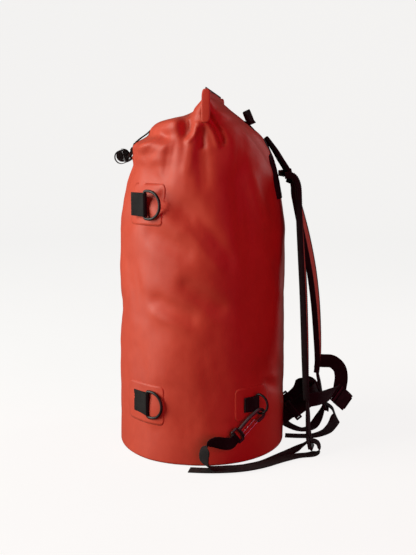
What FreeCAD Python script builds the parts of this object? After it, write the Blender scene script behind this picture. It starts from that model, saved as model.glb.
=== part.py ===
"""Roll-top dry bag with a backpack harness, in millimetres.

+Z is up and the bag stands on Z = 0 with its axis on Z.  -X is the front of the bag, +X is the side
that the wearer's back touches, and -Y is the "near" side.  Each sub-part is one STEP file in parts/.
"""
import FreeCAD
import Part
import math
import os

V = FreeCAD.Vector
X, Y, Z = V(1, 0, 0), V(0, 1, 0), V(0, 0, 1)
ORIGIN = V(0, 0, 0)

# ---- bag ----
BAG_R = 145.0            # outer radius of the filled tube
FABRIC = 1.2             # coated fabric, two-ply where it is welded
BAG_SIDES = 64           # the wall is built of this many narrow facets
OVAL_STEP = 0.001        # the wall's ovals are kept this much wider than deep
BASE_FIT = 0.25          # the base panel and its tape lie this far inside the facets
BASE_EDGE = 14.0         # rounding where the base turns up into the wall
BASE_CUP = 36.0          # height of the base panel's welded rim
TUBE_TOP = 380.0         # the wall is a straight cylinder up to here
# sections above the straight wall: height, centre x, half depth in x, half width in y
SHOULDER = [(450, -1, 135, 144), (500, -1, 123, 142), (535, -1, 106, 140), (557, 0, 80, 139),
            (571, 8, 48, 138), (578, 13, 20, 137)]
SHELL_TOP = 580.0
SHELL_TOP_HALF = (7.0, 136.0)

# ---- rolled collar ----
ROLL_LENGTH = 288.0
ROLL_THICK = 13.0
ROLL_HEIGHT = 31.0
ROLL_YAW = 5.5           # the roll runs a little askew of the bag's width
ROLL_HINGE = V(19, 0, 582.5)
STIFF_THICK = 1.5
STIFF_PROUD = 1.2        # the stiffener's edge stands this far out of the roll

# ---- webbing, rings and patches ----
WEB = 1.6                # webbing thickness
LASH_W = 38.0            # lash tab webbing width
STRAP_W = 25.0           # strap tab, sternum and closure webbing width
ADJUST_W = 20.0          # adjuster webbing width
BELT_W = 30.0            # waist belt webbing width
PATCH_T = 1.2
LASH_WIRE = 2.4          # radius of the lash D-ring's wire
STRAP_WIRE = 2.0
PLAY = 0.3               # clearance round every bar in its webbing
LASH_ANGLE = -38.4       # fold of the lash tabs, in degrees round the bag from -Y towards +X
LASH_HEIGHTS = (98.0, 431.4)
LASH_STRIP = 13.4        # degrees of the bag that the sewn strip covers
LASH_REACH = 31.0
LASH_REST = -3.0         # the rings lie in towards the wall
STRAP_ANGLE = 37.3
STRAP_HEIGHT = 99.5
STRAP_STRIP = 9.0
STRAP_RING = 29.0        # inner width of the strap ring
STRAP_REACH = 19.0
STRAP_REST = 72.0        # held off the wall by the clipped carabiner

# ---- carabiner ----
HOOK_R = 2.7             # radius of the carabiner's moulded rod
HOOK_HEAD = 9.0          # centreline radius of the head
HOOK_TILT = 38.0         # it hangs this far below the horizontal
HOOK_LEAN = 9.5          # and leans in with the curve of the bag
HOOK_LIFT = 11.0         # height of the head's centre above the bag's wall
HOOK_LENGTH = 55.0       # head centre to foot bar
HOOK_TAIL = 12.0         # foot to webbing bar
HOOK_FOOT = 7.0          # half length of the foot that carries the gate
GATE_WIRE = 0.8
GATE_GAP = 2.6           # half distance between the gate's two wires
SLOT_BAR = 2.0           # radius of the bar that the webbing loops round

# ---- harness ----
PANEL_T = 2.4            # the yoke panel stands this far off the bag's wall
SHELL_T, PAD_T = 2.0, 8.0
BINDING_OUT, BINDING_T = 2.3, 1.6     # where the edge tape runs outside the strap, and how thick


# ---------- small builders ----------
def unit(v):
    out = V(v)
    out.normalize()
    return out


def face_of(points):
    return Part.Face(Part.makePolygon(list(points) + [points[0]]))


def disc(centre, normal, r):
    return Part.Face(Part.Wire(Part.makeCircle(r, centre, normal)))


def rod(p, q, r):
    return Part.makeCylinder(r, (q - p).Length, p, q - p)


def bend(p, centre, axis, angle, r):
    """A rod of radius r from p, turned about axis through centre."""
    return disc(p, axis.cross(p - centre), r).revolve(centre, axis, angle)


def block(x0, x1, y0, y1, z0, z1):
    return Part.makeBox(x1 - x0, y1 - y0, z1 - z0, V(x0, y0, z0))


def joined(shapes):
    out = shapes[0].multiFuse(shapes[1:]) if len(shapes) > 1 else shapes[0]
    return out.removeSplitter()


def mirrored(shape):
    return shape.mirror(ORIGIN, Y)


def frame(origin, x, y, z):
    """The matrix that takes local x, y, z to these directions at origin."""
    return FreeCAD.Matrix(x.x, y.x, z.x, origin.x, x.y, y.y, z.y, origin.y,
                          x.z, y.z, z.z, origin.z, 0, 0, 0, 1)


def placed(shape, matrix):
    out = shape.copy()
    out.transformShape(matrix)
    return out


def on_bag(angle, height, out=0.0):
    """Local frame on the bag's wall: x goes round towards +angle, y is up, z is outwards."""
    a = math.radians(angle)
    normal = V(math.sin(a), -math.cos(a), 0)
    origin = normal * (BAG_R + out) + V(0, 0, height)
    return frame(origin, V(math.cos(a), math.sin(a), 0), Z, normal)


def smooth(stations, per_span=3):
    """Catmull-Rom points between stations, each a tuple of vectors and numbers."""
    out = []
    for i in range(len(stations) - 1):
        a = stations[max(i - 1, 0)]
        b, c = stations[i], stations[i + 1]
        d = stations[min(i + 2, len(stations) - 1)]
        for k in range(per_span):
            t = k / per_span
            row = []
            for p0, p1, p2, p3 in zip(a, b, c, d):
                row.append((p1 * 2 + (p2 - p0) * t + (p0 * 2 - p1 * 5 + p2 * 4 - p3) * (t * t)
                            + (p1 * 3 - p0 - p2 * 3 + p3) * (t * t * t)) * 0.5)
            out.append(tuple(row))
    out.append(tuple(stations[-1]))
    return out


def ribbon(stations, low, high, per_span=3):
    """A strip through stations (point, width direction, width), from low to high along its normal."""
    line = smooth(stations, per_span)
    rings = []
    for i, (point, across, width) in enumerate(line):
        along = unit(line[min(i + 1, len(line) - 1)][0] - line[max(i - 1, 0)][0])
        side = unit(across - along * across.dot(along))
        normal = along.cross(side)
        rings.append([point + side * (su * width / 2) + normal * off
                      for su, off in ((-1, low), (1, low), (1, high), (-1, high))])
    faces = [face_of(rings[0][::-1]), face_of(rings[-1])]
    for a, b in zip(rings, rings[1:]):
        for k in (0, 1):
            faces += [face_of([a[k], a[k + 1], b[k + 1]]), face_of([a[k], b[k + 1], b[k]])]
        for k, n in ((2, 3), (3, 0)):
            faces += [face_of([a[k], a[n], b[k]]), face_of([a[n], b[n], b[k]])]
    shell = Part.makeShell(faces)
    shell.sewShape()
    return outward(Part.makeSolid(shell))


def webbing(stations, per_span=3):
    return ribbon(stations, -WEB / 2, WEB / 2, per_span)


def outward(solid):
    """The solid with its faces turned outwards."""
    if solid.Volume < 0:
        solid.reverse()
    return solid


def web_loop(centre, axis, width, bar_r):
    """Webbing turned round a bar: a sleeve with running clearance."""
    start = centre - unit(axis) * (width / 2)
    outer = Part.makeCylinder(bar_r + PLAY + WEB, width, start, axis)
    return outer.cut(Part.makeCylinder(bar_r + PLAY, width, start, axis))


def web_ends(centre, axis, width, towards):
    """Two stations that leave a turn of webbing squarely, the inner one first."""
    out = unit(towards - centre)
    clear = SLOT_BAR + PLAY + WEB + 0.25
    return [(centre + out * clear, axis, width), (centre + out * (clear + 3.5), axis, width)]


def threaded(rows, width, start=None, end=None):
    """Webbing through rows, turned round the bar (centre, axis) at its start, its end or both."""
    loops = []
    if start:
        loops.append(web_loop(start[0], start[1], width, SLOT_BAR))
        rows = web_ends(start[0], start[1], width, rows[0][0]) + rows
    if end:
        loops.append(web_loop(end[0], end[1], width, SLOT_BAR))
        rows = rows + web_ends(end[0], end[1], width, rows[-1][0])[::-1]
    return [webbing(rows)] + loops


# ---------- bag ----------
def sections(inset, bottom):
    """The bag's outline drawn in by inset: (height, centre x, half depth, half width), bottom to top."""
    rows = [(bottom, 0, BAG_R, BAG_R), (TUBE_TOP, 0, BAG_R, BAG_R)] + SHOULDER
    rows.append((SHELL_TOP, SHOULDER[-1][1], SHELL_TOP_HALF[0], SHELL_TOP_HALF[1]))
    rise = SHELL_TOP - TUBE_TOP
    return [(h - inset * max(0.0, h - TUBE_TOP) / rise, cx, half_x - inset, half_y - inset)
            for h, cx, half_x, half_y in rows]


def tube_solid(inset):
    """A smooth solid of the bag's outside, for trimming what lies on it."""
    ovals = []
    for height, cx, half_x, half_y in sections(inset, BASE_EDGE):
        oval = Part.Ellipse(ORIGIN, half_y + OVAL_STEP, half_x).toShape()
        oval.rotate(ORIGIN, Z, 90)
        oval.translate(V(cx, 0, height))
        ovals.append(Part.Wire(oval))
    return Part.makeLoft(ovals, True, True)


def faceted_tube(inset, bottom):
    """The bag's outside, drawn in by inset, as a solid of narrow flat facets."""
    turns = [2 * math.pi * k / BAG_SIDES for k in range(BAG_SIDES)]
    rings = [[V(cx + half_x * math.cos(t), half_y * math.sin(t), height) for t in turns]
             for height, cx, half_x, half_y in sections(inset, bottom)]
    faces = [face_of(rings[0][::-1]), face_of(rings[-1])]
    for low, high in zip(rings, rings[1:]):
        for k in range(BAG_SIDES):
            n = (k + 1) % BAG_SIDES
            faces += [face_of([low[k], low[n], high[n]]), face_of([low[k], high[n], high[k]])]
    shell = Part.makeShell(faces)
    shell.sewShape()
    return outward(Part.makeSolid(shell))


def bag_shell():
    """The coated fabric tube, open at its foot, where the base panel closes it."""
    return faceted_tube(0.0, BASE_EDGE).cut(faceted_tube(FABRIC, BASE_EDGE - FABRIC))


def base_panel():
    """A dished disc whose rim is welded inside the tube."""
    r = BAG_R - FABRIC - BASE_FIT

    def dish(radius, floor, top):
        edge = BASE_EDGE - floor
        solid = Part.makeCylinder(radius, top - floor, V(0, 0, floor))
        rim = [e for e in solid.Edges
               if abs(e.BoundBox.ZMax - floor) < 0.01 and e.BoundBox.XLength > radius]
        return solid.makeFillet(edge, rim)

    outer = dish(r, 0.0, BASE_CUP)
    return outer.cut(dish(r - FABRIC, FABRIC, BASE_CUP + 5))


def base_weld_tape():
    """Flat tape over the seam on the inside."""
    r = BAG_R - FABRIC - BASE_FIT
    tape = Part.makeCylinder(r, 24, V(0, 0, BASE_CUP))
    return tape.cut(Part.makeCylinder(r - 0.8, 24, V(0, 0, BASE_CUP)))


# ---------- rolled collar ----------
def roll_frame():
    a = math.radians(-ROLL_YAW)
    along = V(-math.sin(a), math.cos(a), 0)
    return frame(ROLL_HINGE, V(math.cos(a), math.sin(a), 0), along, Z)


def collar_roll():
    """The mouth rolled down on itself into a flat, upright bundle."""
    half = ROLL_LENGTH / 2
    core = block(-ROLL_THICK / 2, ROLL_THICK / 2, -half, half, 0.4, ROLL_HEIGHT)
    long_edges = [e for e in core.Edges if abs(e.BoundBox.YLength - ROLL_LENGTH) < 0.01]
    core = core.makeFillet(ROLL_THICK / 2 - 0.6, long_edges)
    slot = block(-STIFF_THICK / 2 - 0.1, STIFF_THICK / 2 + 0.1, -half - 1, half + 1,
                 ROLL_HEIGHT - 22.1, ROLL_HEIGHT + 1)
    return placed(core.cut(slot), roll_frame())


def mouth_stiffener():
    """The flexible strip sewn along the mouth, whose edge shows along the top of the roll."""
    half = ROLL_LENGTH / 2
    strip = block(-STIFF_THICK / 2, STIFF_THICK / 2, -half + 2, half - 2,
                  ROLL_HEIGHT - 22, ROLL_HEIGHT + STIFF_PROUD)
    return placed(strip, roll_frame())


def roll_buckle_bar():
    """The female half's bar on the front of the roll, in the roll's own frame."""
    return V(-ROLL_THICK / 2 - 5.4, 0, ROLL_HEIGHT - 2.0)


def roll_tab():
    """A short webbing loop on the front of the roll that carries the closure's female half."""
    front = -ROLL_THICK / 2
    bar = roll_buckle_bar()
    loop = web_loop(bar, Y, STRAP_W, SLOT_BAR)
    strip = block(front - WEB, front, -STRAP_W / 2, STRAP_W / 2, 8, bar.z - 2)
    return placed(joined([loop, strip]).cut(rod(bar - Y * 20, bar + Y * 20, SLOT_BAR + PLAY)),
                  roll_frame())


def roll_buckle_frame():
    """Local frame of the female half: its mouth hangs down."""
    m = roll_frame()
    along = V(-0.08, 0, -1.0)
    along.normalize()
    mouth = roll_buckle_bar() + along * (FEMALE_BAR_GAP + ROLL_BUCKLE_DEEP)
    local = buckle_frame(mouth, along, Y)
    return m.multiply(local)


# ---------- tabs, rings and patches on the wall ----------
def wall_sector(t0, t1, y0, y1, a0, a1):
    face = face_of([V(0, y0, t0), V(0, y1, t0), V(0, y1, t1), V(0, y0, t1)])
    centre = V(0, 0, -BAG_R)
    face.rotate(centre, Y, a0)
    return face.revolve(centre, Y, a1 - a0)


def patch(height, a0, a1, corner=9.0):
    """A welded reinforcement with rounded corners."""
    plate = wall_sector(0.0, PATCH_T, -height / 2, height / 2, a0, a1)
    edges = [e for e in plate.Edges if abs(e.Length - PATCH_T) < 0.01]
    return plate.makeFillet(corner, edges)


def bar_height(wire):
    return PATCH_T + WEB + PLAY + wire


def tab(width, strip_angle, wire):
    """Webbing sewn flat to the patch and turned round the ring's bar."""
    top = PATCH_T + 2 * WEB
    strip = wall_sector(PATCH_T, top, -width / 2, width / 2, -strip_angle, 0)
    sleeve_r = wire + PLAY + WEB
    centre = bar_height(wire)
    foot = -3.2 * sleeve_r
    wedge = face_of([V(foot, -width / 2, PATCH_T + 0.4), V(foot, -width / 2, top - 0.4),
                     V(-0.5 * sleeve_r, -width / 2, centre + 0.86 * sleeve_r),
                     V(0, -width / 2, PATCH_T)]).extrude(Y * width)
    sleeve = Part.makeCylinder(sleeve_r, width, V(0, -width / 2, centre), Y)
    bore = Part.makeCylinder(wire + PLAY, width + 2, V(0, -width / 2 - 1, centre), Y)
    return joined([strip, wedge, sleeve]).cut(bore)


def d_ring(inner, wire, reach, rest):
    """A bent-wire D with its bar on the local y axis, swung out from the wall by rest degrees."""
    half = inner / 2 + wire
    corner = 1.6 * wire
    leg = reach - half
    parts = [rod(V(0, -half + corner, 0), V(0, half - corner, 0), wire)]
    for s in (-1, 1):
        centre = V(corner, s * (half - corner), 0)
        parts.append(bend(V(0, s * (half - corner), 0), centre, Z * -s, 90, wire))
        parts.append(rod(V(corner, s * half, 0), V(max(leg, corner + 0.5), s * half, 0), wire))
    start = V(max(leg, corner + 0.5), -half, 0)
    parts.append(bend(start, V(start.x, 0, 0), Z, 180, wire))
    ring = joined(parts)
    ring.rotate(ORIGIN, Y, -rest)
    ring.translate(V(0, 0, bar_height(wire)))
    return ring


# ---------- carabiner ----------
def hook_frame():
    """Local frame of the near carabiner: x runs from head to foot, z is outwards."""
    base = on_bag(STRAP_ANGLE, STRAP_HEIGHT)
    a = math.radians(HOOK_TILT)
    lean = math.radians(HOOK_LEAN)
    along = V(-math.cos(a) * math.cos(lean), -math.sin(a) * math.cos(lean), -math.sin(lean))
    out = V(-math.cos(a) * math.sin(lean), -math.sin(a) * math.sin(lean), math.cos(lean))
    side = out.cross(along)
    head = V(0.3, -(STRAP_RING / 2 + STRAP_WIRE + 1.0), HOOK_LIFT)
    local = frame(head, along, side, out)
    return base.multiply(local)


def carabiner_body():
    """Moulded hook: head, spine, nose and a foot with a webbing bar."""
    h, r = HOOK_HEAD, HOOK_R
    foot = HOOK_LENGTH - HOOK_TAIL
    parts = [bend(V(0, -h, 0), ORIGIN, Z, -180, r)]
    spine = [V(0, -h, 0), V(foot * 0.45, -h - 0.8, 0), V(foot, -HOOK_FOOT, 0)]
    parts += [rod(a, b, r) for a, b in zip(spine, spine[1:])]
    parts += [Part.makeSphere(r, p) for p in spine[1:]]
    nose = [V(0, h, 0), V(7, h - 0.2, 0)]
    parts += [rod(nose[0], nose[1], r), Part.makeSphere(r, nose[1])]
    parts.append(rod(V(foot, -HOOK_FOOT, 0), V(foot, HOOK_FOOT, 0), r))
    parts.append(Part.makeSphere(r, V(foot, HOOK_FOOT, 0)))
    half = ADJUST_W / 2 + 3.2
    end = HOOK_LENGTH
    parts.append(rod(V(end, -half, 0), V(end, half, 0), SLOT_BAR))
    for s in (-1, 1):
        knee = V(foot + 3.5, s * half, 0)
        parts.append(rod(V(foot, s * HOOK_FOOT * 0.9, 0), knee, SLOT_BAR))
        parts.append(rod(knee, V(end, s * half, 0), SLOT_BAR))
        parts += [Part.makeSphere(SLOT_BAR, knee), Part.makeSphere(SLOT_BAR, V(end, s * half, 0))]
    body = joined(parts)
    bore = Part.makeCylinder(GATE_WIRE + PLAY, 12, V(foot, HOOK_FOOT + 0.2, -6), Z)
    return placed(body.cut(bore), hook_frame())


def gate_pivot():
    return V(HOOK_LENGTH - HOOK_TAIL, HOOK_FOOT + 0.2, 0)


def carabiner_gate():
    """Sprung wire gate: two wires from the foot to a small bow that closes on the nose."""
    pivot = gate_pivot()
    tip = V(10.9, HOOK_HEAD - 4.6, 0)
    r, gap = GATE_WIRE, GATE_GAP + HOOK_R - 0.9
    parts = [rod(pivot - Z * gap, pivot + Z * gap, r)]
    for s in (-1, 1):
        a, b = pivot + Z * (s * gap), tip + Z * (s * gap)
        parts += [rod(a, b, r), Part.makeSphere(r, a), Part.makeSphere(r, b)]
    parts.append(rod(tip - Z * gap, tip + Z * gap, r))
    return placed(joined(parts), hook_frame())


# ---------- side-release buckle ----------
FEMALE_BAR_GAP = 4.6     # from the female half's body to its webbing bar
MALE_BAR = 13.0          # from the mouth to the male half's webbing bar
ROLL_BUCKLE_DEEP = 17.0


def buckle_female(w, deep, thick=4.6):
    """Local x is the pull direction with the mouth at x = 0; webbing bar at the far end."""
    half = w / 2 + 4
    body = block(-deep, 0, -half, half, -thick, thick)
    corners = [e for e in body.Edges if e.BoundBox.ZLength > 2 * thick - 0.1]
    body = body.makeFillet(4.0, corners)
    cavity = block(-deep + 5, 1, -half - 1, half + 1, -2.5, 2.5)
    post = block(-deep + 4, -3, -2.2, 2.2, -2.5, 2.5)
    body = body.cut(cavity).fuse(post)
    bar_x = -deep - FEMALE_BAR_GAP
    arms = [block(bar_x - 1, -deep + 2, s * half - (2.6 if s > 0 else 0),
                  s * half + (0 if s > 0 else 2.6), -2.2, 2.2) for s in (-1, 1)]
    bar = rod(V(bar_x, -half, 0), V(bar_x, half, 0), SLOT_BAR)
    return joined([body, bar] + arms)


def buckle_male(w, reach):
    """Two spring arms and a yoke with a webbing bar; it pulls out along +x."""
    half, thick = w / 2 + 4, 2.1
    yoke = block(0.5, 7, -half, half, -3.4, 3.4)
    edges = [e for e in yoke.Edges if e.BoundBox.YLength > 2 * half - 0.1]
    parts = [yoke.makeFillet(1.5, edges)]
    for s in (-1, 1):
        arm = face_of([V(0.5, s * (half - 6.5), -thick), V(-reach, s * (half - 8.0), -thick),
                       V(-reach, s * (half - 3.5), -thick), V(-reach * 0.72, s * (half + 0.6), -thick),
                       V(-reach * 0.45, s * (half - 1.2), -thick), V(0.5, s * (half - 2.2), -thick)])
        parts.append(arm.extrude(Z * (2 * thick)))
    bar_x = MALE_BAR
    parts.append(rod(V(bar_x, -half, 0), V(bar_x, half, 0), SLOT_BAR))
    parts += [block(5, bar_x + 1, s * half - (2.6 if s > 0 else 0),
                    s * half + (0 if s > 0 else 2.6), -2.0, 2.0) for s in (-1, 1)]
    return joined(parts)


def buckle_bars(w):
    """Local x of the female's and the male's webbing bars."""
    return -w - FEMALE_BAR_GAP, MALE_BAR


def buckle_frame(mouth, pull, across):
    along = unit(pull)
    side = unit(across - along * across.dot(along))
    return frame(mouth, along, side, along.cross(side))


# ---------- ladder lock ----------
LADDER_LENGTH = 26.0


def ladder_lock(w):
    """Strap adjuster hung by the bar at local x = 0, with two working bars and a thumb lip."""
    half = w / 2 + 3.6
    bars = [rod(V(x, -half, z), V(x, half, z), r)
            for x, z, r in ((0, 0, SLOT_BAR), (10.5, 0.6, SLOT_BAR), (20, -0.4, SLOT_BAR))]
    rails = [block(-1.5, 22, s * half - 1.8, s * half + 1.8, -2.0, 2.4) for s in (-1, 1)]
    lip = face_of([V(20, -half, -1.6), V(LADDER_LENGTH, -half, 2.2),
                   V(LADDER_LENGTH, -half, 4.0), V(20, -half, 1.4)]).extrude(Y * (2 * half))
    return joined(bars + rails + [lip])


# ---------- closure strap on the front ----------
CLOSURE_BAR = V(-116.2, 0, 526.5)       # the male half hangs from this bar
CLOSURE_UP = V(0.50, 0, 0.866)          # from its prongs up to the bar
CLOSURE_PRONG = 12.0
CLOSURE_COIL_AT = (-31.0, 11.5)         # centre of the rolled-up tail from the bar: along, outwards
CLOSURE_COIL_R = 10.6


def closure_frame():
    """Local frame with its x along the buckle and its webbing bar at the male's bar."""
    along = unit(CLOSURE_UP)
    return buckle_frame(CLOSURE_BAR - along * MALE_BAR, along, Y)


def closure_point(along, out):
    up = unit(CLOSURE_UP)
    return CLOSURE_BAR + up * along + V(-up.z, 0, up.x) * out


def front_patch():
    """A reinforcement welded on the front shoulder, shaped to it."""
    rows = [(V(-126.5, 0, 500), Y, 58.0), (V(-110.0, 0, 535), Y, 58.0), (V(-98.5, 0, 549), Y, 58.0)]
    thick = ribbon(rows, -9.0, 9.0, 2)
    return thick.common(tube_solid(-PATCH_T)).cut(tube_solid(0.0))


def front_tab():
    """Webbing from the patch down to the buckle's bar."""
    loop = web_loop(CLOSURE_BAR, Y, STRAP_W, SLOT_BAR)
    strip = webbing([(V(-99.6, 0, 551.0), Y, STRAP_W), (V(-107.0, 0, 542.6), Y, STRAP_W),
                     (closure_point(SLOT_BAR + PLAY + WEB / 2, -0.4), Y, STRAP_W)], 2)
    bore = rod(CLOSURE_BAR - Y * 20, CLOSURE_BAR + Y * 20, SLOT_BAR + PLAY)
    return joined([strip, loop]).cut(bore).cut(tube_solid(-PATCH_T))


def closure_tail():
    """The strap's spare tail: over the front of the buckle and rolled up tight."""
    half = STRAP_W / 2
    centre = closure_point(*CLOSURE_COIL_AT)
    drum = Part.makeCylinder(CLOSURE_COIL_R, STRAP_W, centre - Y * half, Y)
    drum = drum.cut(Part.makeCylinder(2.2, STRAP_W + 2, centre - Y * (half + 1), Y))
    strip = webbing([(closure_point(-1.0, 5.6), Y, STRAP_W), (closure_point(-12.0, 6.4), Y, STRAP_W),
                     (closure_point(-23.4, 6.2), Y, STRAP_W)], 2)
    return joined([drum, strip])


def coil_keeper():
    """Elastic band round the rolled tail."""
    centre = closure_point(*CLOSURE_COIL_AT)
    outer = Part.makeCylinder(CLOSURE_COIL_R + 1.3, 9, centre - Y * 4.5, Y)
    band = outer.cut(Part.makeCylinder(CLOSURE_COIL_R + 0.02, 11, centre - Y * 5.5, Y))
    return band.cut(closure_tail())


# ---------- haul loop ----------
HAUL_BASE = V(84.5, 0, 559.5)
HAUL_DIR = V(-0.39, 0, 0.92)
HAUL_SPAN, HAUL_RISE, HAUL_W = 84.0, 26.0, 15.0


def haul_loop():
    """A grab handle of webbing that arches up behind the roll."""
    up = unit(HAUL_DIR)
    upright, slope = V(up.z, 0, -up.x), V(0.75, 0, -0.67)
    half = HAUL_SPAN / 2
    rise = [(1.0, 4.3, slope), (0.9, 8.0, slope), (0.72, 19.0, unit(slope + upright)),
            (0.4, 25.0, upright), (0.0, HAUL_RISE, upright)]
    rows = [(HAUL_BASE - Y * (half * f) + up * r, across, HAUL_W) for f, r, across in rise]
    rows += [(HAUL_BASE + Y * (half * f) + up * r, across, HAUL_W) for f, r, across in rise[-2::-1]]
    return webbing(rows, 2)


def haul_pads():
    """Two webbing feet sewn to the bag under the handle's ends."""
    pads = []
    for s in (-1, 1):
        y = s * HAUL_SPAN / 2
        pads.append(ribbon([(V(74.5, y, 565.2), Y, 18.0), (V(92.5, y, 549.2), Y, 18.0)],
                           0.3, 1.9, 1))
    outside = tube_solid(0.0)
    return Part.makeCompound([pad.cut(outside) for pad in pads])


# ---------- harness ----------
def yoke_panel():
    """Black load-spreading panel on the bag's back, shaped to the shoulder."""
    rows = [(V(105.6, 0, 534.6), 92.0), (V(118.0, 0, 508.0), 108.0),
            (V(126.2, 0, 482.0), 120.0), (V(132.2, 0, 456.0), 124.0), (V(136.2, 0, 436.0), 118.0)]
    sheet = ribbon([(p, Y, w) for p, w in rows], -3.2, 6.5, 2)
    return sheet.cut(tube_solid(0.0)).common(tube_solid(-PANEL_T))


def lifter():
    """Webbing from the panel's top edge down to the straps' shoulders."""
    return webbing([(V(110.5, 0, 537.5), Y, 38.0), (V(122.5, 0, 521.5), Y, 38.0),
                    (V(135.0, 0, 505.0), Y, 38.0), (V(146.0, 0, 489.0), Y, 38.0)], 3)


# each station: centre of the strap, its width direction, its width
NEAR_STRAP = [
    (V(139, -40, 473.5), V(0.00, 1, 0), 44.0), (V(150, -41, 473), V(0.02, 1, 0), 46.0),
    (V(157.5, -42, 460), V(0.05, 1, 0), 50.0), (V(160, -46, 436), V(0.08, 1, 0), 54.0),
    (V(161.5, -52, 404), V(0.12, 1, 0), 57.0), (V(165, -59, 350), V(0.15, 1, 0), 58.0),
    (V(168.5, -66, 290), V(0.16, 1, 0), 58.0), (V(171, -72, 230), V(0.16, 1, 0), 57.0),
    (V(173, -77, 170), V(0.15, 1, 0), 54.0), (V(174.5, -82, 120), V(0.12, 1, 0), 46.0),
    (V(176, -84, 98), V(0.10, 1, 0), 38.0)]
FAR_STRAP = [
    (V(139, 40, 473.5), V(0.00, 1, 0), 44.0), (V(150, 41, 473), V(0.02, 1, 0), 46.0),
    (V(158.5, 42, 460), V(0.08, 1, 0), 50.0), (V(163, 46, 438), V(0.14, 1, 0), 54.0),
    (V(173, 52, 404), V(0.22, 1, 0), 57.0), (V(187, 59, 352), V(0.25, 1, 0), 58.0),
    (V(199.5, 66, 296), V(0.25, 1, 0), 58.0), (V(208.5, 72, 238), V(0.24, 1, 0), 57.0),
    (V(214, 76, 180), V(0.22, 1, 0), 54.0), (V(217, 79, 128), V(0.18, 1, 0), 46.0),
    (V(215, 79, 100), V(0.15, 1, 0), 38.0)]
PAD_LOW = -PAD_T / 2 + 1.0      # the pad faces the bag, the shell faces outwards


def strap_layers(stations):
    """Outer fabric shell and the foam pad behind it."""
    pad_high = PAD_LOW + PAD_T
    shell = ribbon(stations, pad_high, pad_high + SHELL_T, 2)
    pad = ribbon(stations, PAD_LOW, pad_high, 2)
    return shell, pad


def strap_binding(stations):
    """Folded tape along both edges of the strap."""
    strips = []
    for s in (-1, 1):
        rows = []
        for point, across, width in stations:
            side = unit(across)
            rows.append((point + side * (s * (width / 2 + BINDING_OUT)), across, BINDING_T))
        strips.append(ribbon(rows, PAD_LOW - 0.4, PAD_LOW + PAD_T + SHELL_T + 0.4, 2))
    return Part.makeCompound(strips)


def strap_yoke():
    """Webbing crosspiece between the tops of the two shoulder straps."""
    across = V(0.3, 0, -1)
    return ribbon([(V(149, -13.4, 473), across, 24.0), (V(149, 13.4, 473), across, 24.0)], -3.5, 3.5, 1)


# ladder locks: bar centre, direction to the lip, width direction
NEAR_LOCK = (V(182.0, -86, 33), V(0.22, -0.03, -1.0), V(0.28, 0.96, 0.0))
FAR_LOCK = (V(227.0, 72, 47), V(0.42, 0.0, -0.91), V(0.20, 0.98, 0.0))


def lock_frame(lock):
    bar, down, across = lock
    return buckle_frame(bar, down, across)


def lock_strap(stations, lock):
    """Short webbing from the padded end down to the ladder lock's fixed bar."""
    bar = lock[0]
    across = lock_across(lock)
    end, strap_across = stations[-1][:2]
    tail = unit(end - stations[-2][0])
    rows = [(end + tail * 2.5, strap_across, ADJUST_W), (end + tail * 8, strap_across, ADJUST_W)]
    middle = (end + tail * 8) * 0.5 + bar * 0.5
    rows.append((middle, unit(strap_across + across), ADJUST_W))
    return Part.makeCompound(threaded(rows, ADJUST_W, end=(bar, across)))


FLOOR_Z = 1.3


def near_hook_bar():
    return hook_frame().multVec(V(HOOK_LENGTH, 0, 0))


def near_hook_side():
    m = hook_frame()
    return m.multVec(Y) - m.multVec(ORIGIN)


def flat_row(x, y, along_x, along_y, z=FLOOR_Z):
    """A station that lies flat, with the strap running along (along_x, along_y)."""
    return V(x, y, z), unit(V(-along_y, along_x, 0)), ADJUST_W


def working_bar(lock):
    """Centre of the ladder lock's middle bar."""
    return lock_frame(lock).multVec(V(10.5, 0, 0.6))


def lock_across(lock):
    m = lock_frame(lock)
    return m.multVec(Y) - m.multVec(ORIGIN)


def adjuster(hook_bar, hook_side, loop_rows, floor_rows, lock, tail_rows):
    """One webbing: round the carabiner's bar, along the floor, round the lock and back as a tail."""
    turn = (working_bar(lock), lock_across(lock))
    main = threaded(loop_rows + floor_rows, ADJUST_W, start=(hook_bar, hook_side), end=turn)
    tail = threaded(tail_rows, ADJUST_W, start=turn)[:1]
    return Part.makeCompound(main + tail)


def edge_row(x, y, z, dx, dy, dz):
    """One station of adjuster webbing, with the direction across its width."""
    return V(x, y, z), V(dx, dy, dz), ADJUST_W


def near_adjuster():
    loop = [edge_row(48, -149, 41.5, -0.49, -0.37, 0.79), edge_row(36, -159, 44, -0.4, -0.2, 0.9),
            edge_row(19, -168, 50, 0.2, -0.2, 0.96), edge_row(7, -171, 43, 0.6, -0.3, 0.75),
            edge_row(2.5, -173, 30, 0.75, -0.5, 0.3), edge_row(4, -173, 16, 0.6, -0.8, 0.1),
            edge_row(13, -169, 6, 0.3, -0.95, 0), edge_row(28, -163, 3, 0.1, -1, 0)]
    floor = [flat_row(42, -159, 1, 0.15, 2.2), flat_row(70, -152, 0.95, 0.3), flat_row(101, -136, 0.8, 0.6),
             flat_row(130, -108, 0.75, 0.66), flat_row(158, -84, 0.85, 0.5, 3.5)]
    tail = [edge_row(198, -90, 19, 0.28, 0.96, 0), edge_row(200, -94, 7, 0.32, 0.95, 0),
            flat_row(187, -100, 0.9, 0.42, 2.0), flat_row(160, -110, 0.85, 0.5, 3.2),
            flat_row(130, -128, 0.8, 0.6, 3.2), flat_row(96, -152, 0.85, 0.5, 3.2),
            flat_row(60, -167, 1, 0.2, 3.2), flat_row(18, -172, 1, 0.02, 3.2),
            flat_row(-22, -165, 1, -0.1, 1.4)]
    return adjuster(near_hook_bar(), near_hook_side(), loop, floor, NEAR_LOCK, tail)


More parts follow.
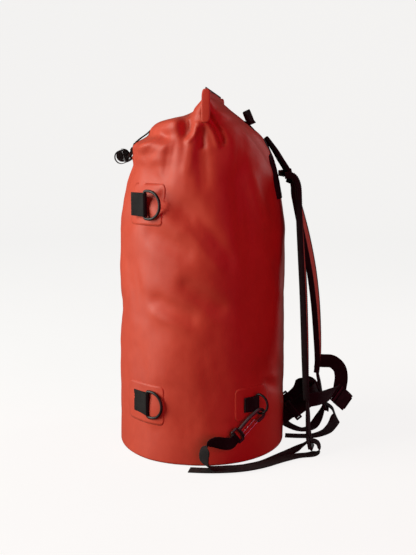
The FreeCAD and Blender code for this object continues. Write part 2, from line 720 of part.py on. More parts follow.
def far_adjuster():
    bar, side = near_hook_bar(), near_hook_side()
    bar, side = V(bar.x, -bar.y, bar.z), V(side.x, -side.y, side.z)
    loop = [edge_row(48, 149, 41.5, -0.49, 0.37, 0.79), edge_row(35, 159, 43, -0.4, 0.2, 0.9),
            edge_row(17, 169, 42, 0.3, 0.2, 0.9), edge_row(10, 172, 31, 0.7, 0.4, 0.6),
            edge_row(11, 173, 18, 0.7, 0.7, 0), edge_row(30, 169, 5, 0.1, 1, 0)]
    floor = [flat_row(56, 161, 1, -0.25, 1.8), flat_row(92, 146, 0.85, -0.5), flat_row(124, 118, 0.7, -0.7),
             flat_row(148, 82, 0.4, -0.9), flat_row(162, 46, 0.45, -0.9), flat_row(184, 22, 0.95, -0.3),
             flat_row(207, 36, 0.6, 0.8, 3.6)]
    tail = [edge_row(247, 71, 27, 0.2, 0.98, 0), edge_row(252, 69, 15, 0.25, 0.97, 0),
            edge_row(252, 60, 8.5, 0.6, 0.8, 0), edge_row(247, 45, 6, 0.9, 0.4, 0),
            flat_row(238, 24, 0.4, 0.91, 5), flat_row(226, 4, 0.55, 0.83, 3.8),
            flat_row(204, -9, 0.95, 0.3, 1.6), flat_row(178, -11, 1, -0.05, 1.3),
            flat_row(150, -8, 1, -0.1, 1.3)]
    return adjuster(bar, side, loop, floor, FAR_LOCK, tail)


# ---------- sternum strap ----------
STERNUM_MOUTH = V(249, 12, 72)
STERNUM_PULL = V(-0.62, -0.44, 0.65)
STERNUM_ACROSS = V(0.55, 0.25, 0.80)


def sternum_frame():
    return buckle_frame(STERNUM_MOUTH, STERNUM_PULL, STERNUM_ACROSS)


def looped_web(m, bar_x, rows, width):
    """Webbing through rows that ends in a loop round a buckle's bar."""
    bar = m.multVec(V(bar_x, 0, 0))
    side = m.multVec(Y) - m.multVec(ORIGIN)
    return Part.makeCompound(threaded(rows, width, end=(bar, side)))


def sternum_near():
    rows = [(V(186.0, -64, 87), V(0, 0, 1), STRAP_W), (V(205, -54, 87), V(0.05, 0, 1), STRAP_W),
            (V(223, -34, 86), V(0.15, 0, 1), STRAP_W)]
    return looped_web(sternum_frame(), buckle_bars(STRAP_W)[1], rows, STRAP_W)


def sternum_far():
    rows = [(V(229.0, 76, 119), V(0.1, 0.3, 1), STRAP_W), (V(246, 74, 118), V(0.2, 0.3, 1), STRAP_W),
            (V(259, 69, 107), V(0.5, 0.2, 0.8), STRAP_W), (V(262, 62, 91), V(0.8, 0.2, 0.5), STRAP_W),
            (V(259, 54, 75), V(0.7, 0.3, 0.6), STRAP_W), (V(256, 45, 59), V(0.6, 0.3, 0.75), STRAP_W)]
    return looped_web(sternum_frame(), buckle_bars(STRAP_W)[0], rows, STRAP_W)


# ---------- waist belt ----------
BELT_NEAR_Y, BELT_FAR_Y = -26.0, 30.0
BELT_RING_X, BELT_RING_Z = 161.5, 55.5
BELT_MOUTH = V(205, 8, 86)
BELT_PULL = V(0.30, -0.90, 0.10)


def belt_frame():
    return buckle_frame(BELT_MOUTH, BELT_PULL, V(-0.35, 0.0, 0.94))


def belt_half(side):
    """Webbing on edge from the ring at the bag's back out to the buckle."""
    y = BELT_NEAR_Y if side < 0 else BELT_FAR_Y
    across = V(-0.62, 0, 0.78)
    rows = [(V(168.2, y, 60.8), across, BELT_W)]
    if side < 0:
        rows += [(V(180, y, 70), across, BELT_W), (V(192, y, 79), across, BELT_W)]
        rows.append((V(202, y + 5, 86), V(-0.4, 0.0, 0.9), BELT_W))
        return looped_web(belt_frame(), buckle_bars(BELT_W)[1], rows, BELT_W)
    rows += [(V(178, y + 6, 69), across, BELT_W), (V(184, y + 20, 77), V(-0.45, 0.1, 0.88), BELT_W)]
    return looped_web(belt_frame(), buckle_bars(BELT_W)[0], rows, BELT_W)


def belt_ring(side):
    """Rectangular ring at the foot of the belt half, on edge against the bag."""
    y = BELT_NEAR_Y if side < 0 else BELT_FAR_Y
    centre, along = V(BELT_RING_X, y, BELT_RING_Z), V(-0.62, 0, 0.78)
    along = unit(along)
    out = unit(V(0.78, 0, 0.62))
    half, depth, r = BELT_W / 2 + 3.5, 4.2, 1.8
    corners = [centre + along * (su * half) + out * (sv * depth)
               for su, sv in ((-1, -1), (1, -1), (1, 1), (-1, 1))]
    parts = [rod(corners[i], corners[(i + 1) % 4], r) for i in range(4)]
    parts += [Part.makeSphere(r, c) for c in corners]
    return joined(parts)


def belt_anchor(side):
    """Short webbing from the bag's lower back to the ring's inner bar."""
    y = BELT_NEAR_Y if side < 0 else BELT_FAR_Y
    axis, out = unit(V(-0.62, 0, 0.78)), unit(V(0.78, 0, 0.62))
    bar = V(BELT_RING_X, y, BELT_RING_Z) - out * 4.2
    width, wire = 22.0, 1.8
    loop = Part.makeCylinder(wire + PLAY + WEB, width, bar - axis * (width / 2), axis)
    strip = webbing([(bar - out * 22, axis, width), (bar - out * 2, axis, width)], 1)
    bore = rod(bar - axis * 20, bar + axis * 20, wire + PLAY)
    return joined([loop, strip]).cut(bore).cut(tube_solid(-PATCH_T))


def belt_patches():
    plates = []
    for y in (BELT_NEAR_Y, BELT_FAR_Y):
        angle = 90 + math.degrees(math.asin(y / BAG_R))
        plates.append(placed(patch(48, -9.5, 9.5), on_bag(angle, 54)))
    return Part.makeCompound(plates)


# ---------- the list of sub-parts ----------
def lash_patches():
    """The four welded patches under the lash points."""
    plates = [placed(patch(68, -LASH_STRIP - 7, 12.5), on_bag(LASH_ANGLE, h)) for h in LASH_HEIGHTS]
    return Part.makeCompound(plates + [mirrored(p) for p in plates])


def strap_patches():
    """The two welded patches under the strap rings."""
    plate = placed(patch(58, -STRAP_STRIP - 6.5, 13), on_bag(STRAP_ANGLE, STRAP_HEIGHT))
    return Part.makeCompound([plate, mirrored(plate)])


def lash_set():
    out = {"lash_patches": lash_patches()}
    for i, height in enumerate(LASH_HEIGHTS):
        level = ("lower", "upper")[i]
        m = on_bag(LASH_ANGLE, height)
        shapes = {"tab": tab(LASH_W, LASH_STRIP, LASH_WIRE),
                  "ring": d_ring(LASH_W + 2, LASH_WIRE, LASH_REACH, LASH_REST)}
        for kind, shape in shapes.items():
            near = placed(shape, m)
            out[f"near_{level}_lash_{kind}"] = near
            out[f"far_{level}_lash_{kind}"] = mirrored(near)
    return out


def strap_set():
    m = on_bag(STRAP_ANGLE, STRAP_HEIGHT)
    near = {"strap_tab": placed(tab(STRAP_W, STRAP_STRIP, STRAP_WIRE), m),
            "strap_ring": placed(d_ring(STRAP_RING, STRAP_WIRE, STRAP_REACH, STRAP_REST), m),
            "carabiner": carabiner_body(), "carabiner_gate": carabiner_gate()}
    out = {"strap_patches": strap_patches()}
    out.update({f"near_{k}": s for k, s in near.items()})
    out.update({f"far_{k}": mirrored(s) for k, s in near.items()})
    return out


def bag_set():
    return {"bag_shell": bag_shell(), "base_panel": base_panel(), "base_weld_tape": base_weld_tape(),
            "collar_roll": collar_roll(), "mouth_stiffener": mouth_stiffener(),
            "roll_tab": roll_tab(),
            "haul_loop": haul_loop(), "haul_feet": haul_pads(), "yoke_panel": yoke_panel(),
            "lifter_webbing": lifter()}


def closure_set():
    female = buckle_female(STRAP_W, ROLL_BUCKLE_DEEP, 3.4)
    return {"front_patch": front_patch(), "front_tab": front_tab(),
            "closure_buckle_female": placed(female, roll_buckle_frame()),
            "closure_buckle_male": placed(buckle_male(STRAP_W, CLOSURE_PRONG), closure_frame()),
            "closure_tail_coil": closure_tail(), "coil_keeper": coil_keeper()}


def harness_set():
    out = {}
    for name, stations, lock in (("near", NEAR_STRAP, NEAR_LOCK), ("far", FAR_STRAP, FAR_LOCK)):
        shell, pad = strap_layers(stations)
        out[f"{name}_strap_shell"] = shell
        out[f"{name}_strap_pad"] = pad
        out[f"{name}_strap_binding"] = strap_binding(stations)
        out[f"{name}_lock_webbing"] = lock_strap(stations, lock)
        out[f"{name}_ladder_lock"] = placed(ladder_lock(ADJUST_W), lock_frame(lock))
    out["strap_yoke"] = strap_yoke()
    out["near_adjuster_webbing"] = near_adjuster()
    out["far_adjuster_webbing"] = far_adjuster()
    m = sternum_frame()
    out["sternum_webbing_near"] = sternum_near()
    out["sternum_webbing_far"] = sternum_far()
    out["sternum_buckle_female"] = placed(buckle_female(STRAP_W, STRAP_W), m)
    out["sternum_buckle_male"] = placed(buckle_male(STRAP_W, STRAP_W - 6), m)
    return out


def belt_set():
    m = belt_frame()
    out = {"belt_patches": belt_patches(), "belt_buckle_female": placed(buckle_female(BELT_W, BELT_W), m),
           "belt_buckle_male": placed(buckle_male(BELT_W, BELT_W - 6), m)}
    for name, side in (("near", -1), ("far", 1)):
        out[f"{name}_belt_webbing"] = belt_half(side)
        out[f"{name}_belt_ring"] = belt_ring(side)
        out[f"{name}_belt_anchor"] = belt_anchor(side)
    return out


def all_parts():
    out = {}
    for group in (bag_set, lash_set, strap_set, closure_set, harness_set, belt_set):
        out.update(group())
    return out


def main():
    os.makedirs("parts", exist_ok=True)
    for old in os.listdir("parts"):
        os.remove(os.path.join("parts", old))
    shapes = all_parts()
    for name, shape in sorted(shapes.items()):
        shape.exportStep(f"parts/{name}.step")
        box = shape.BoundBox
        print(f"{name:26s} {len(shape.Solids):2d} solid(s) {shape.Volume / 1000:9.3f} cm3 "
              f"valid {shape.isValid()} z {box.ZMin:7.2f} {box.ZMax:7.2f}")
    print(len(shapes), "nodes")


main()
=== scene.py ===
"""The looks of a roll-top dry bag with a backpack harness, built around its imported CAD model, in metres."""
import math

import bmesh
import bpy
import numpy as np
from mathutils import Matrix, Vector, noise


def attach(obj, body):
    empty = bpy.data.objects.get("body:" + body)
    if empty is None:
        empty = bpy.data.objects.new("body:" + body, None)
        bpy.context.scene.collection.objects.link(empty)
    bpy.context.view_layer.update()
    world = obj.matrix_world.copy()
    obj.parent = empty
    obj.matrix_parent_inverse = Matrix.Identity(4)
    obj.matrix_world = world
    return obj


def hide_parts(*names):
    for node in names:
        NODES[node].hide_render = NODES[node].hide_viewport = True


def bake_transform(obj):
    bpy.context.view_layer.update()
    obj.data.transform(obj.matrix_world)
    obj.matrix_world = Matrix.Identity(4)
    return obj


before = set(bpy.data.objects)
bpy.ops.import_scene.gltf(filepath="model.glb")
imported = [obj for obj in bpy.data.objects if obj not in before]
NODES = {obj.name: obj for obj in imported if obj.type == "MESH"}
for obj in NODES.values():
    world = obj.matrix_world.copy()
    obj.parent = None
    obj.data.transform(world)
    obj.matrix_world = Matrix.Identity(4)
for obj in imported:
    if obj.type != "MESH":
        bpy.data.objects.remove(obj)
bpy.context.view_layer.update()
MM = 0.001
V = Vector
Y, Z = V((0, 1, 0)), V((0, 0, 1))


# ---------- camera, floor and light ----------
CAMERA_AT = V((0.0088, -1.40, 0.53))
CAMERA_DIP = math.radians(9.6)
FOCAL_PIXELS = 797.0
IMAGE_HEIGHT = 555.0


def make_camera():
    data = bpy.data.cameras.new("camera")
    data.sensor_fit = "VERTICAL"
    data.sensor_height = 36.0
    data.lens = 36.0 * FOCAL_PIXELS / IMAGE_HEIGHT
    data.clip_start = 0.05
    camera = bpy.data.objects.new("camera", data)
    camera.location = CAMERA_AT
    camera.rotation_euler = (math.pi / 2 - CAMERA_DIP, 0, 0)
    bpy.context.scene.collection.objects.link(camera)
    bpy.context.scene.camera = camera


def area_light(name, at, aim, size, watts, colour=(1, 1, 1)):
    data = bpy.data.lights.new(name, "AREA")
    data.shape = "RECTANGLE"
    data.size, data.size_y = size
    data.energy = watts
    data.color = colour
    light = bpy.data.objects.new(name, data)
    light.location = at
    light.rotation_euler = (V(aim) - V(at)).to_track_quat("-Z", "Y").to_euler()
    bpy.context.scene.collection.objects.link(light)
    return light


def make_stage():
    """A pale floor that curves up into a backdrop on every side."""
    profile = [(0.0, 0.0), (3.2, 0.0)]
    profile += [(3.2 + 1.2 * math.sin(a), 1.2 - 1.2 * math.cos(a))
                for a in (math.radians(15 * k) for k in range(1, 7))]
    profile.append((4.4, 5.5))
    sides = 96
    verts, faces = [(0, 0, -0.0002)], []
    for r, z in profile[1:]:
        verts += [(r * math.cos(2 * math.pi * k / sides), r * math.sin(2 * math.pi * k / sides), z - 0.0002)
                  for k in range(sides)]
    for k in range(sides):
        faces.append((0, 1 + k, 1 + (k + 1) % sides))
    for ring in range(len(profile) - 2):
        low, high = 1 + ring * sides, 1 + (ring + 1) * sides
        for k in range(sides):
            n = (k + 1) % sides
            faces.append((low + k, high + k, high + n, low + n))
    floor = mesh_object("stage_floor", verts, faces, smooth=True)
    floor.data.materials.append(pale_floor())


def make_world():
    world = bpy.data.worlds.new("studio")
    world.use_nodes = True
    background = world.node_tree.nodes["Background"]
    background.inputs["Color"].default_value = (1.0, 0.992, 0.98, 1)
    background.inputs["Strength"].default_value = WORLD_STRENGTH
    bpy.context.scene.world = world
    bpy.context.scene.view_settings.view_transform = "Standard"


WORLD_STRENGTH = 0.03
FLOOR_GLOW = 0.875


def make_lights():
    area_light("key_left", (-2.1, -0.58, 1.0), (0, 0, 0.3), (1.4, 2.0), 68, (1.0, 0.96, 0.86))
    area_light("rim_right", (1.5, 0.75, 0.75), (0.1, 0, 0.3), (0.3, 1.4), 5)
    area_light("top_soft", (-0.1, -0.3, 3.0), (0, 0, 0), (2.2, 2.2), 4)
    area_light("bounce_right", (1.0, -1.7, 0.7), (0.05, 0, 0.3), (1.4, 1.4), 13, (1.0, 0.02, 0.14))


# ---------- mesh builders ----------
def mesh_object(name, verts, faces, smooth=True):
    data = bpy.data.meshes.new(name)
    data.from_pydata([tuple(v) for v in verts], [], faces)
    data.validate()
    obj = bpy.data.objects.new(name, data)
    bpy.context.scene.collection.objects.link(obj)
    if smooth:
        data.shade_smooth()
    return obj


def turned_out(obj):
    """Faces turned outwards and doubles merged."""
    mesh = bmesh.new()
    mesh.from_mesh(obj.data)
    bmesh.ops.remove_doubles(mesh, verts=mesh.verts, dist=1e-6)
    bmesh.ops.recalc_face_normals(mesh, faces=mesh.faces)
    mesh.to_mesh(obj.data)
    mesh.free()
    return obj


def applied(obj):
    """The object with its modifiers applied."""
    bpy.context.view_layer.update()
    graph = bpy.context.evaluated_depsgraph_get()
    data = bpy.data.meshes.new_from_object(obj.evaluated_get(graph))
    obj.modifiers.clear()
    obj.data = data
    data.shade_smooth()
    return obj


def merged(name, objs):
    """One object of several, with their materials."""
    materials, verts, faces, slots = [], [], [], []
    for obj in objs:
        base = len(verts)
        verts += [tuple(obj.matrix_world @ v.co) for v in obj.data.vertices]
        index = []
        for material in obj.data.materials:
            if material not in materials:
                materials.append(material)
            index.append(materials.index(material))
        for polygon in obj.data.polygons:
            faces.append([base + i for i in polygon.vertices])
            slots.append((index[polygon.material_index] if index else 0, polygon.use_smooth))
        bpy.data.objects.remove(obj)
    out = mesh_object(name, verts, faces, smooth=False)
    for material in materials:
        out.data.materials.append(material)
    for polygon, (slot, smooth) in zip(out.data.polygons, slots):
        polygon.material_index = slot
        polygon.use_smooth = smooth
    return out


def catmull(rows, per_span):
    """Smooth rows of numbers between the given rows."""
    rows = [np.array(r, float) for r in rows]
    out = []
    for i in range(len(rows) - 1):
        a, b, c = rows[max(i - 1, 0)], rows[i], rows[i + 1]
        d = rows[min(i + 2, len(rows) - 1)]
        for k in range(per_span):
            t = k / per_span
            out.append(0.5 * (2 * b + (c - a) * t + (2 * a - 5 * b + 4 * c - d) * t * t
                              + (3 * b - a - 3 * c + d) * t ** 3))
    out.append(rows[-1])
    return out


def strip_frames(stations, per_span=5):
    """(point, side, normal, width) along stations of (point, width direction, width), in millimetres."""
    line = catmull([[*p, *across, w] for p, across, w in stations], per_span)
    out = []
    for i, row in enumerate(line):
        after, before = line[min(i + 1, len(line) - 1)], line[max(i - 1, 0)]
        along = V(after[:3] - before[:3]).normalized()
        across = V(row[3:6])
        side = (across - along * across.dot(along)).normalized()
        out.append((V(row[:3]) * MM, side, along.cross(side), row[6] * MM))
    return out


def ring_faces(spans, n, first=0):
    """Faces between closed rings of n points."""
    return [(first + i * n + k, first + i * n + (k + 1) % n, first + (i + 1) * n + (k + 1) % n,
             first + (i + 1) * n + k)
            for i in range(spans) for k in range(n)]


def grid_faces(up, across):
    """Faces of a sheet of up by across squares."""
    wide = across + 1
    return [(i * wide + k, i * wide + k + 1, i * wide + k + wide + 1, i * wide + k + wide)
            for i in range(up) for k in range(across)]


def section_strip(name, frames, outline):
    """A body swept along frames: outline gives (share of half width, offset along the normal)."""
    n = len(outline)
    verts = [point + side * (u * width / 2) + normal * off
             for point, side, normal, width in frames for u, off in outline]
    faces = ring_faces(len(frames) - 1, n)
    faces.append(tuple(range(n))[::-1])
    faces.append(tuple((len(frames) - 1) * n + k for k in range(n)))
    return turned_out(mesh_object(name, verts, faces))


WEB = 1.6 * MM


def web_outline(thick=WEB, steps=10):
    """Flat webbing with rounded selvedges and faint ribs across its width."""
    half = thick / 2
    top = [(-0.965 + 1.93 * k / steps, half * (1.0 if k % 2 else 0.9)) for k in range(steps + 1)]
    bottom = [(u, -off) for u, off in top[::-1]]
    return top + [(1.0, half * 0.45), (1.0, -half * 0.45)] + bottom + [(-1.0, -half * 0.45),
        (-1.0, half * 0.45)]


def webbing(name, stations, per_span=5, thick=WEB, material=None):
    strip = section_strip(name, strip_frames(stations, per_span), web_outline(thick))
    strip.data.materials.append(material or MATERIAL["webbing"])
    return strip


def stitches(name, points, normals, pitch=3.6 * MM, length=2.5 * MM, radius=0.28 * MM, material=None):
    """Short thread dashes along a line, lying on a surface."""
    verts, faces = [], []
    gone = 0.0
    nxt = pitch / 2
    for i in range(len(points) - 1):
        a, b = points[i], points[i + 1]
        run = (b - a).length
        while run > 1e-9 and nxt <= gone + run:
            t = (nxt - gone) / run
            p = a.lerp(b, t)
            up = normals[i].lerp(normals[i + 1], t).normalized()
            along = (b - a).normalized()
            side = along.cross(up)
            base = len(verts)
            for s, scale, lift in ((-1, 0.35, 0.0), (-0.5, 1, 1), (0.5, 1, 1), (1, 0.35, 0.0)):
                centre = p + along * (s * length / 2) + up * (radius * 0.7 * lift)
                for k in range(5):
                    q = 2 * math.pi * k / 5
                    verts.append(centre + side * (radius * scale * math.cos(q))
                                 + up * (radius * scale * math.sin(q)))
            for ring in range(3):
                for k in range(5):
                    j = (k + 1) % 5
                    r0, r1 = base + ring * 5, base + ring * 5 + 5
                    faces.append((r0 + k, r0 + j, r1 + j, r1 + k))
            nxt += pitch
        gone += run
    thread = mesh_object(name, verts, faces)
    thread.data.materials.append(material or MATERIAL["thread_black"])
    return thread


# ---------- materials ----------
MATERIAL = {}


class Nodes:
    """A small helper to wire a procedural material."""

    def __init__(self, name):
        self.material = bpy.data.materials.new(name)
        self.material.use_nodes = True
        self.tree = self.material.node_tree
        self.shader = self.tree.nodes["Principled BSDF"]

    def add(self, kind, **values):
        node = self.tree.nodes.new(kind)
        for key, value in values.items():
            if hasattr(node, key) and key not in node.inputs:
                setattr(node, key, value)
            else:
                node.inputs[key].default_value = value
        return node

    def link(self, a, b):
        self.tree.links.new(a, b)

    def coords(self, scale=(1, 1, 1)):
        where = self.add("ShaderNodeTexCoord")
        mapping = self.add("ShaderNodeMapping")
        mapping.inputs["Scale"].default_value = scale
        self.link(where.outputs["Object"], mapping.inputs["Vector"])
        return mapping.outputs["Vector"]

    def noise(self, scale, detail=3.0, rough=0.55, vector=None, stretch=(1, 1, 1)):
        node = self.add("ShaderNodeTexNoise")
        node.inputs["Scale"].default_value = scale
        node.inputs["Detail"].default_value = detail
        node.inputs["Roughness"].default_value = rough
        self.link(vector or self.coords(stretch), node.inputs["Vector"])
        return node.outputs["Fac"]

    def wave(self, scale, direction, vector=None, distortion=0.0):
        node = self.add("ShaderNodeTexWave")
        node.wave_type = "BANDS"
        node.bands_direction = direction
        node.inputs["Scale"].default_value = scale
        node.inputs["Distortion"].default_value = distortion
        self.link(vector or self.coords(), node.inputs["Vector"])
        return node.outputs["Fac"]

    def math(self, how, a, b=None, clamp=False):
        node = self.add("ShaderNodeMath")
        node.operation = how
        node.use_clamp = clamp
        for socket, value in zip(node.inputs, (a, b)):
            if value is None:
                continue
            if isinstance(value, (int, float)):
                socket.default_value = value
            else:
                self.link(value, socket)
        return node.outputs["Value"]

    def ramp(self, fac, stops):
        node = self.add("ShaderNodeValToRGB")
        while len(node.color_ramp.elements) < len(stops):
            node.color_ramp.elements.new(0.5)
        for element, (at, colour) in zip(node.color_ramp.elements, stops):
            element.position = at
            element.color = (*colour, 1)
        self.link(fac, node.inputs["Fac"])
        return node.outputs["Color"]

    def span(self, fac, low, high):
        """fac from 0..1 to low..high."""
        node = self.add("ShaderNodeMapRange")
        node.inputs["To Min"].default_value = low
        node.inputs["To Max"].default_value = high
        self.link(fac, node.inputs["Value"])
        return node.outputs["Result"]

    def bump(self, height, strength, distance):
        node = self.add("ShaderNodeBump")
        node.inputs["Strength"].default_value = strength
        node.inputs["Distance"].default_value = distance
        self.link(height, node.inputs["Height"])
        self.link(node.outputs["Normal"], self.shader.inputs["Normal"])

    def colour(self, socket):
        self.link(socket, self.shader.inputs["Base Color"])

    def rough(self, socket):
        self.link(socket, self.shader.inputs["Roughness"])

    def fixed(self, **values):
        for key, value in values.items():
            self.shader.inputs[key.replace("_", " ")].default_value = value


def pale_floor():
    """A nearly shadowless pale sweep that bounces little light back on the bag."""
    m = Nodes("pale_floor")
    m.colour(m.ramp(m.noise(3.0), [(0.3, (0.13, 0.129, 0.127)), (0.7, (0.14, 0.139, 0.137))]))
    m.rough(m.span(m.noise(40.0), 0.85, 0.95))
    m.fixed(Specular_IOR_Level=0.0, Emission_Color=(1.0, 0.994, 0.984, 1))
    seen = m.add("ShaderNodeLightPath")
    m.link(m.math("MULTIPLY", seen.outputs["Is Camera Ray"], FLOOR_GLOW),
           m.shader.inputs["Emission Strength"])
    return m.material


def tarpaulin(name, dark, mid, light, base_rough=0.42):
    """Coated polyester: a film over a fine plain-weave scrim, with handling marks."""
    m = Nodes(name)
    cloud = m.noise(9.0, 4.0, 0.6)
    scuff = m.noise(70.0, 5.0, 0.65)
    mix = m.math("ADD", m.math("MULTIPLY", cloud, 0.75), m.math("MULTIPLY", scuff, 0.25))
    m.colour(m.ramp(mix, [(0.30, dark), (0.52, mid), (0.74, light)]))
    weave = m.math("MULTIPLY", m.wave(430.0, "Z"), m.wave(430.0, "DIAGONAL"))
    grain = m.noise(900.0, 2.0)
    smooth = m.noise(35.0, 3.0)
    height = m.math("ADD", m.math("MULTIPLY", weave, 0.35),
                    m.math("ADD", m.math("MULTIPLY", grain, 0.35), m.math("MULTIPLY", smooth, 0.8)))
    m.bump(height, 0.22, 0.0004)
    m.rough(m.span(scuff, base_rough - 0.08, base_rough + 0.14))
    m.fixed(Specular_IOR_Level=0.42, Sheen_Weight=0.06, Sheen_Roughness=0.45)
    return m.material


def woven(name, dark, light, threads=1500.0, rough=0.82, strength=0.6):
    """Ribbed nylon webbing."""
    m = Nodes(name)
    ribs = m.math("MULTIPLY", m.wave(threads * 0.31, "X"), m.wave(threads * 0.31, "Z"))
    fibres = m.noise(threads, 3.0, 0.7)
    cloud = m.noise(40.0, 3.0)
    mix = m.math("ADD", m.math("MULTIPLY", fibres, 0.5), m.math("MULTIPLY", cloud, 0.5))
    m.colour(m.ramp(mix, [(0.32, dark), (0.70, light)]))
    m.bump(m.math("ADD", ribs, m.math("MULTIPLY", fibres, 0.7)), strength, 0.0005)
    m.rough(m.span(fibres, rough - 0.08, rough + 0.1))
    m.fixed(Specular_IOR_Level=0.22, Sheen_Weight=0.04, Sheen_Roughness=0.4)
    return m.material


def spacer_mesh(name, dark, light):
    """Air mesh: small round holes over a dark ground."""
    m = Nodes(name)
    cells = m.add("ShaderNodeTexVoronoi")
    cells.inputs["Scale"].default_value = 420.0
    cells.inputs["Randomness"].default_value = 0.25
    m.link(m.coords(), cells.inputs["Vector"])
    holes = cells.outputs["Distance"]
    m.colour(m.ramp(holes, [(0.25, dark), (0.6, light)]))
    m.bump(m.math("ADD", holes, m.math("MULTIPLY", m.noise(900.0), 0.3)), 0.8, 0.0008)
    m.rough(m.span(holes, 0.95, 0.75))
    m.fixed(Specular_IOR_Level=0.2, Sheen_Weight=0.3)
    return m.material


def moulded(name, dark, light, rough=0.46):
    """Acetal or nylon moulding with a fine spark-eroded texture and lighter worn spots."""
    m = Nodes(name)
    cloud = m.noise(60.0, 4.0)
    grain = m.noise(1600.0, 2.0, 0.7)
    m.colour(m.ramp(cloud, [(0.35, dark), (0.72, light)]))
    m.bump(m.math("ADD", grain, m.math("MULTIPLY", cloud, 0.4)), 0.18, 0.0003)
    m.rough(m.span(m.noise(120.0, 4.0), rough - 0.1, rough + 0.12))
    m.fixed(Specular_IOR_Level=0.5)
    return m.material


def metal(name, dark, light, rough=0.3, coated=False):
    m = Nodes(name)
    cloud = m.noise(90.0, 4.0)
    scratch = m.noise(500.0, 3.0, 0.6, stretch=(1, 1, 8))
    m.colour(m.ramp(m.math("ADD", m.math("MULTIPLY", cloud, 0.6), m.math("MULTIPLY", scratch, 0.4)),
                    [(0.35, dark), (0.7, light)]))
    m.bump(scratch, 0.12, 0.0002)
    m.rough(m.span(cloud, rough - 0.06, rough + 0.12))
    m.fixed(Metallic=0.35 if coated else 1.0, Specular_IOR_Level=0.5)
    return m.material


def make_materials():
    MATERIAL["tarp"] = tarpaulin("tarpaulin_red", (0.54, 0.058, 0.030), (0.60, 0.070, 0.035),
        (0.66, 0.084, 0.042), 0.50)
    MATERIAL["strap_orange"] = woven("strap_fabric_orange", (0.50, 0.040, 0.020), (0.64, 0.075, 0.035),
        1800, 0.7, 0.4)
    MATERIAL["mesh"] = spacer_mesh("air_mesh", (0.006, 0.006, 0.007), (0.030, 0.030, 0.033))
    MATERIAL["webbing"] = woven("webbing_black", (0.006, 0.006, 0.007), (0.024, 0.023, 0.024))
    MATERIAL["binding"] = woven("binding_tape", (0.007, 0.007, 0.008), (0.022, 0.022, 0.023), 2200, 0.85,
        0.4)
    MATERIAL["elastic"] = woven("elastic_black", (0.008, 0.008, 0.009), (0.05, 0.05, 0.052), 900, 0.8, 0.9)
    MATERIAL["panel"] = woven("panel_fabric", (0.006, 0.006, 0.007), (0.024, 0.024, 0.026), 1300, 0.8, 0.5)
    MATERIAL["thread_black"] = woven("thread_black", (0.02, 0.02, 0.021), (0.07, 0.07, 0.07), 5000, 0.8,
        0.4)
    MATERIAL["plastic"] = moulded("moulded_black", (0.009, 0.009, 0.010), (0.030, 0.030, 0.032))
    MATERIAL["plastic_grey"] = moulded("moulded_worn", (0.020, 0.020, 0.021), (0.07, 0.07, 0.072), 0.38)
    MATERIAL["coated"] = metal("coated_steel", (0.007, 0.007, 0.008), (0.028, 0.028, 0.030), 0.36, True)
    MATERIAL["steel"] = metal("bright_wire", (0.42, 0.42, 0.43), (0.72, 0.72, 0.73), 0.24)
    MATERIAL["stiffener"] = moulded("stiffener_strip", (0.012, 0.012, 0.013), (0.05, 0.05, 0.052), 0.5)


# ---------- the bag ----------
BAG_R = 145.0
BASE_EDGE = 5.0
TUBE_TOP = 380.0
# height, centre x, half depth in x, half width in y
SHOULDER = [
    (450, -1, 135, 144), (500, -1, 123, 142), (535, -1, 106, 140), (555, -1.5, 87, 139.5),
    (565, 2, 71.5, 139), (575, 15, 46, 138.5), (585, 18.5, 28.7, 138), (596, 19.5, 15, 137),
    (600, 19.5, 8, 136)]
# the front's outline: height, and how far it is drawn in there (a minus stands out)
FRONT_LINE = [
    (0, -4.5), (60, -4.5), (160, -3), (300, -1), (340, 0), (400, 0), (422, 1.5), (457, 3), (490, 6),
    (508, 0), (525, -7), (543, 8), (556, 2), (566, 0)]
AROUND = 320
SEAM_TURN = math.radians(92)
SQUARE_FROM, SQUARE_OVER = 470, 110    # the section squares up over this range of height
ASKEW_FROM, ASKEW_OVER = 540, 50       # and turns askew with the roll over this one
STILL_AT = 598                         # no folds from here up, where the roll grips the fabric
MOST_OUT = 4.5                         # folds stand out by this much at most
BASE_FLARE, FLARE_TOP = 4.0, 70        # the near side spreads a little over the base

# soft folds on the near side: ends as (x, height), half width, depth; a minus depth stands out
NEAR_FOLDS = [
    ((-16, 578), (-25, 546), 11, 19), ((-3, 557), (-22, 536), 5.5, -10), ((-1, 549), (0, 526), 4.5, 7),
    ((19, 571), (31, 534), 5.5, 9), ((8, 568), (24, 528), 4.5, -4), ((-2, 524), (2, 470), 10, 4),
    ((-16, 530), (-24, 490), 8, -3), ((42, 560), (80, 520), 10, 2), ((62, 540), (60, 495), 9, 1.5),
    ((-62, 536), (-92, 506), 7, 5), ((-74, 540), (-98, 520), 5, -3), ((-48, 530), (-60, 480), 9, 4),
    ((-88, 470), (-30, 414), 17, 7), ((-92, 440), (-36, 398), 12, -5), ((-24, 424), (34, 352), 18, 7),
    ((-18, 398), (28, 340), 12, -4.5), ((-82, 382), (-30, 356), 13, 6), ((-22, 300), (26, 268), 13, 5.5),
    ((-72, 272), (-22, 252), 13, 5.5), ((-74, 256), (-30, 236), 10, -3.5), ((76, 470), (104, 400), 12, -6),
    ((60, 470), (74, 360), 18, 6), ((84, 380), (92, 230), 22, 4), ((96, 160), (118, 120), 9, 3.5),
    ((112, 128), (132, 108), 5, 3), ((104, 140), (130, 130), 5, -2.4), ((-110, 180), (-96, 120), 14, 2.5),
    ((10, 190), (30, 110), 22, 2.5), ((-60, 120), (-20, 60), 16, 2.0), ((-118, 330), (-104, 250), 12, 3)]
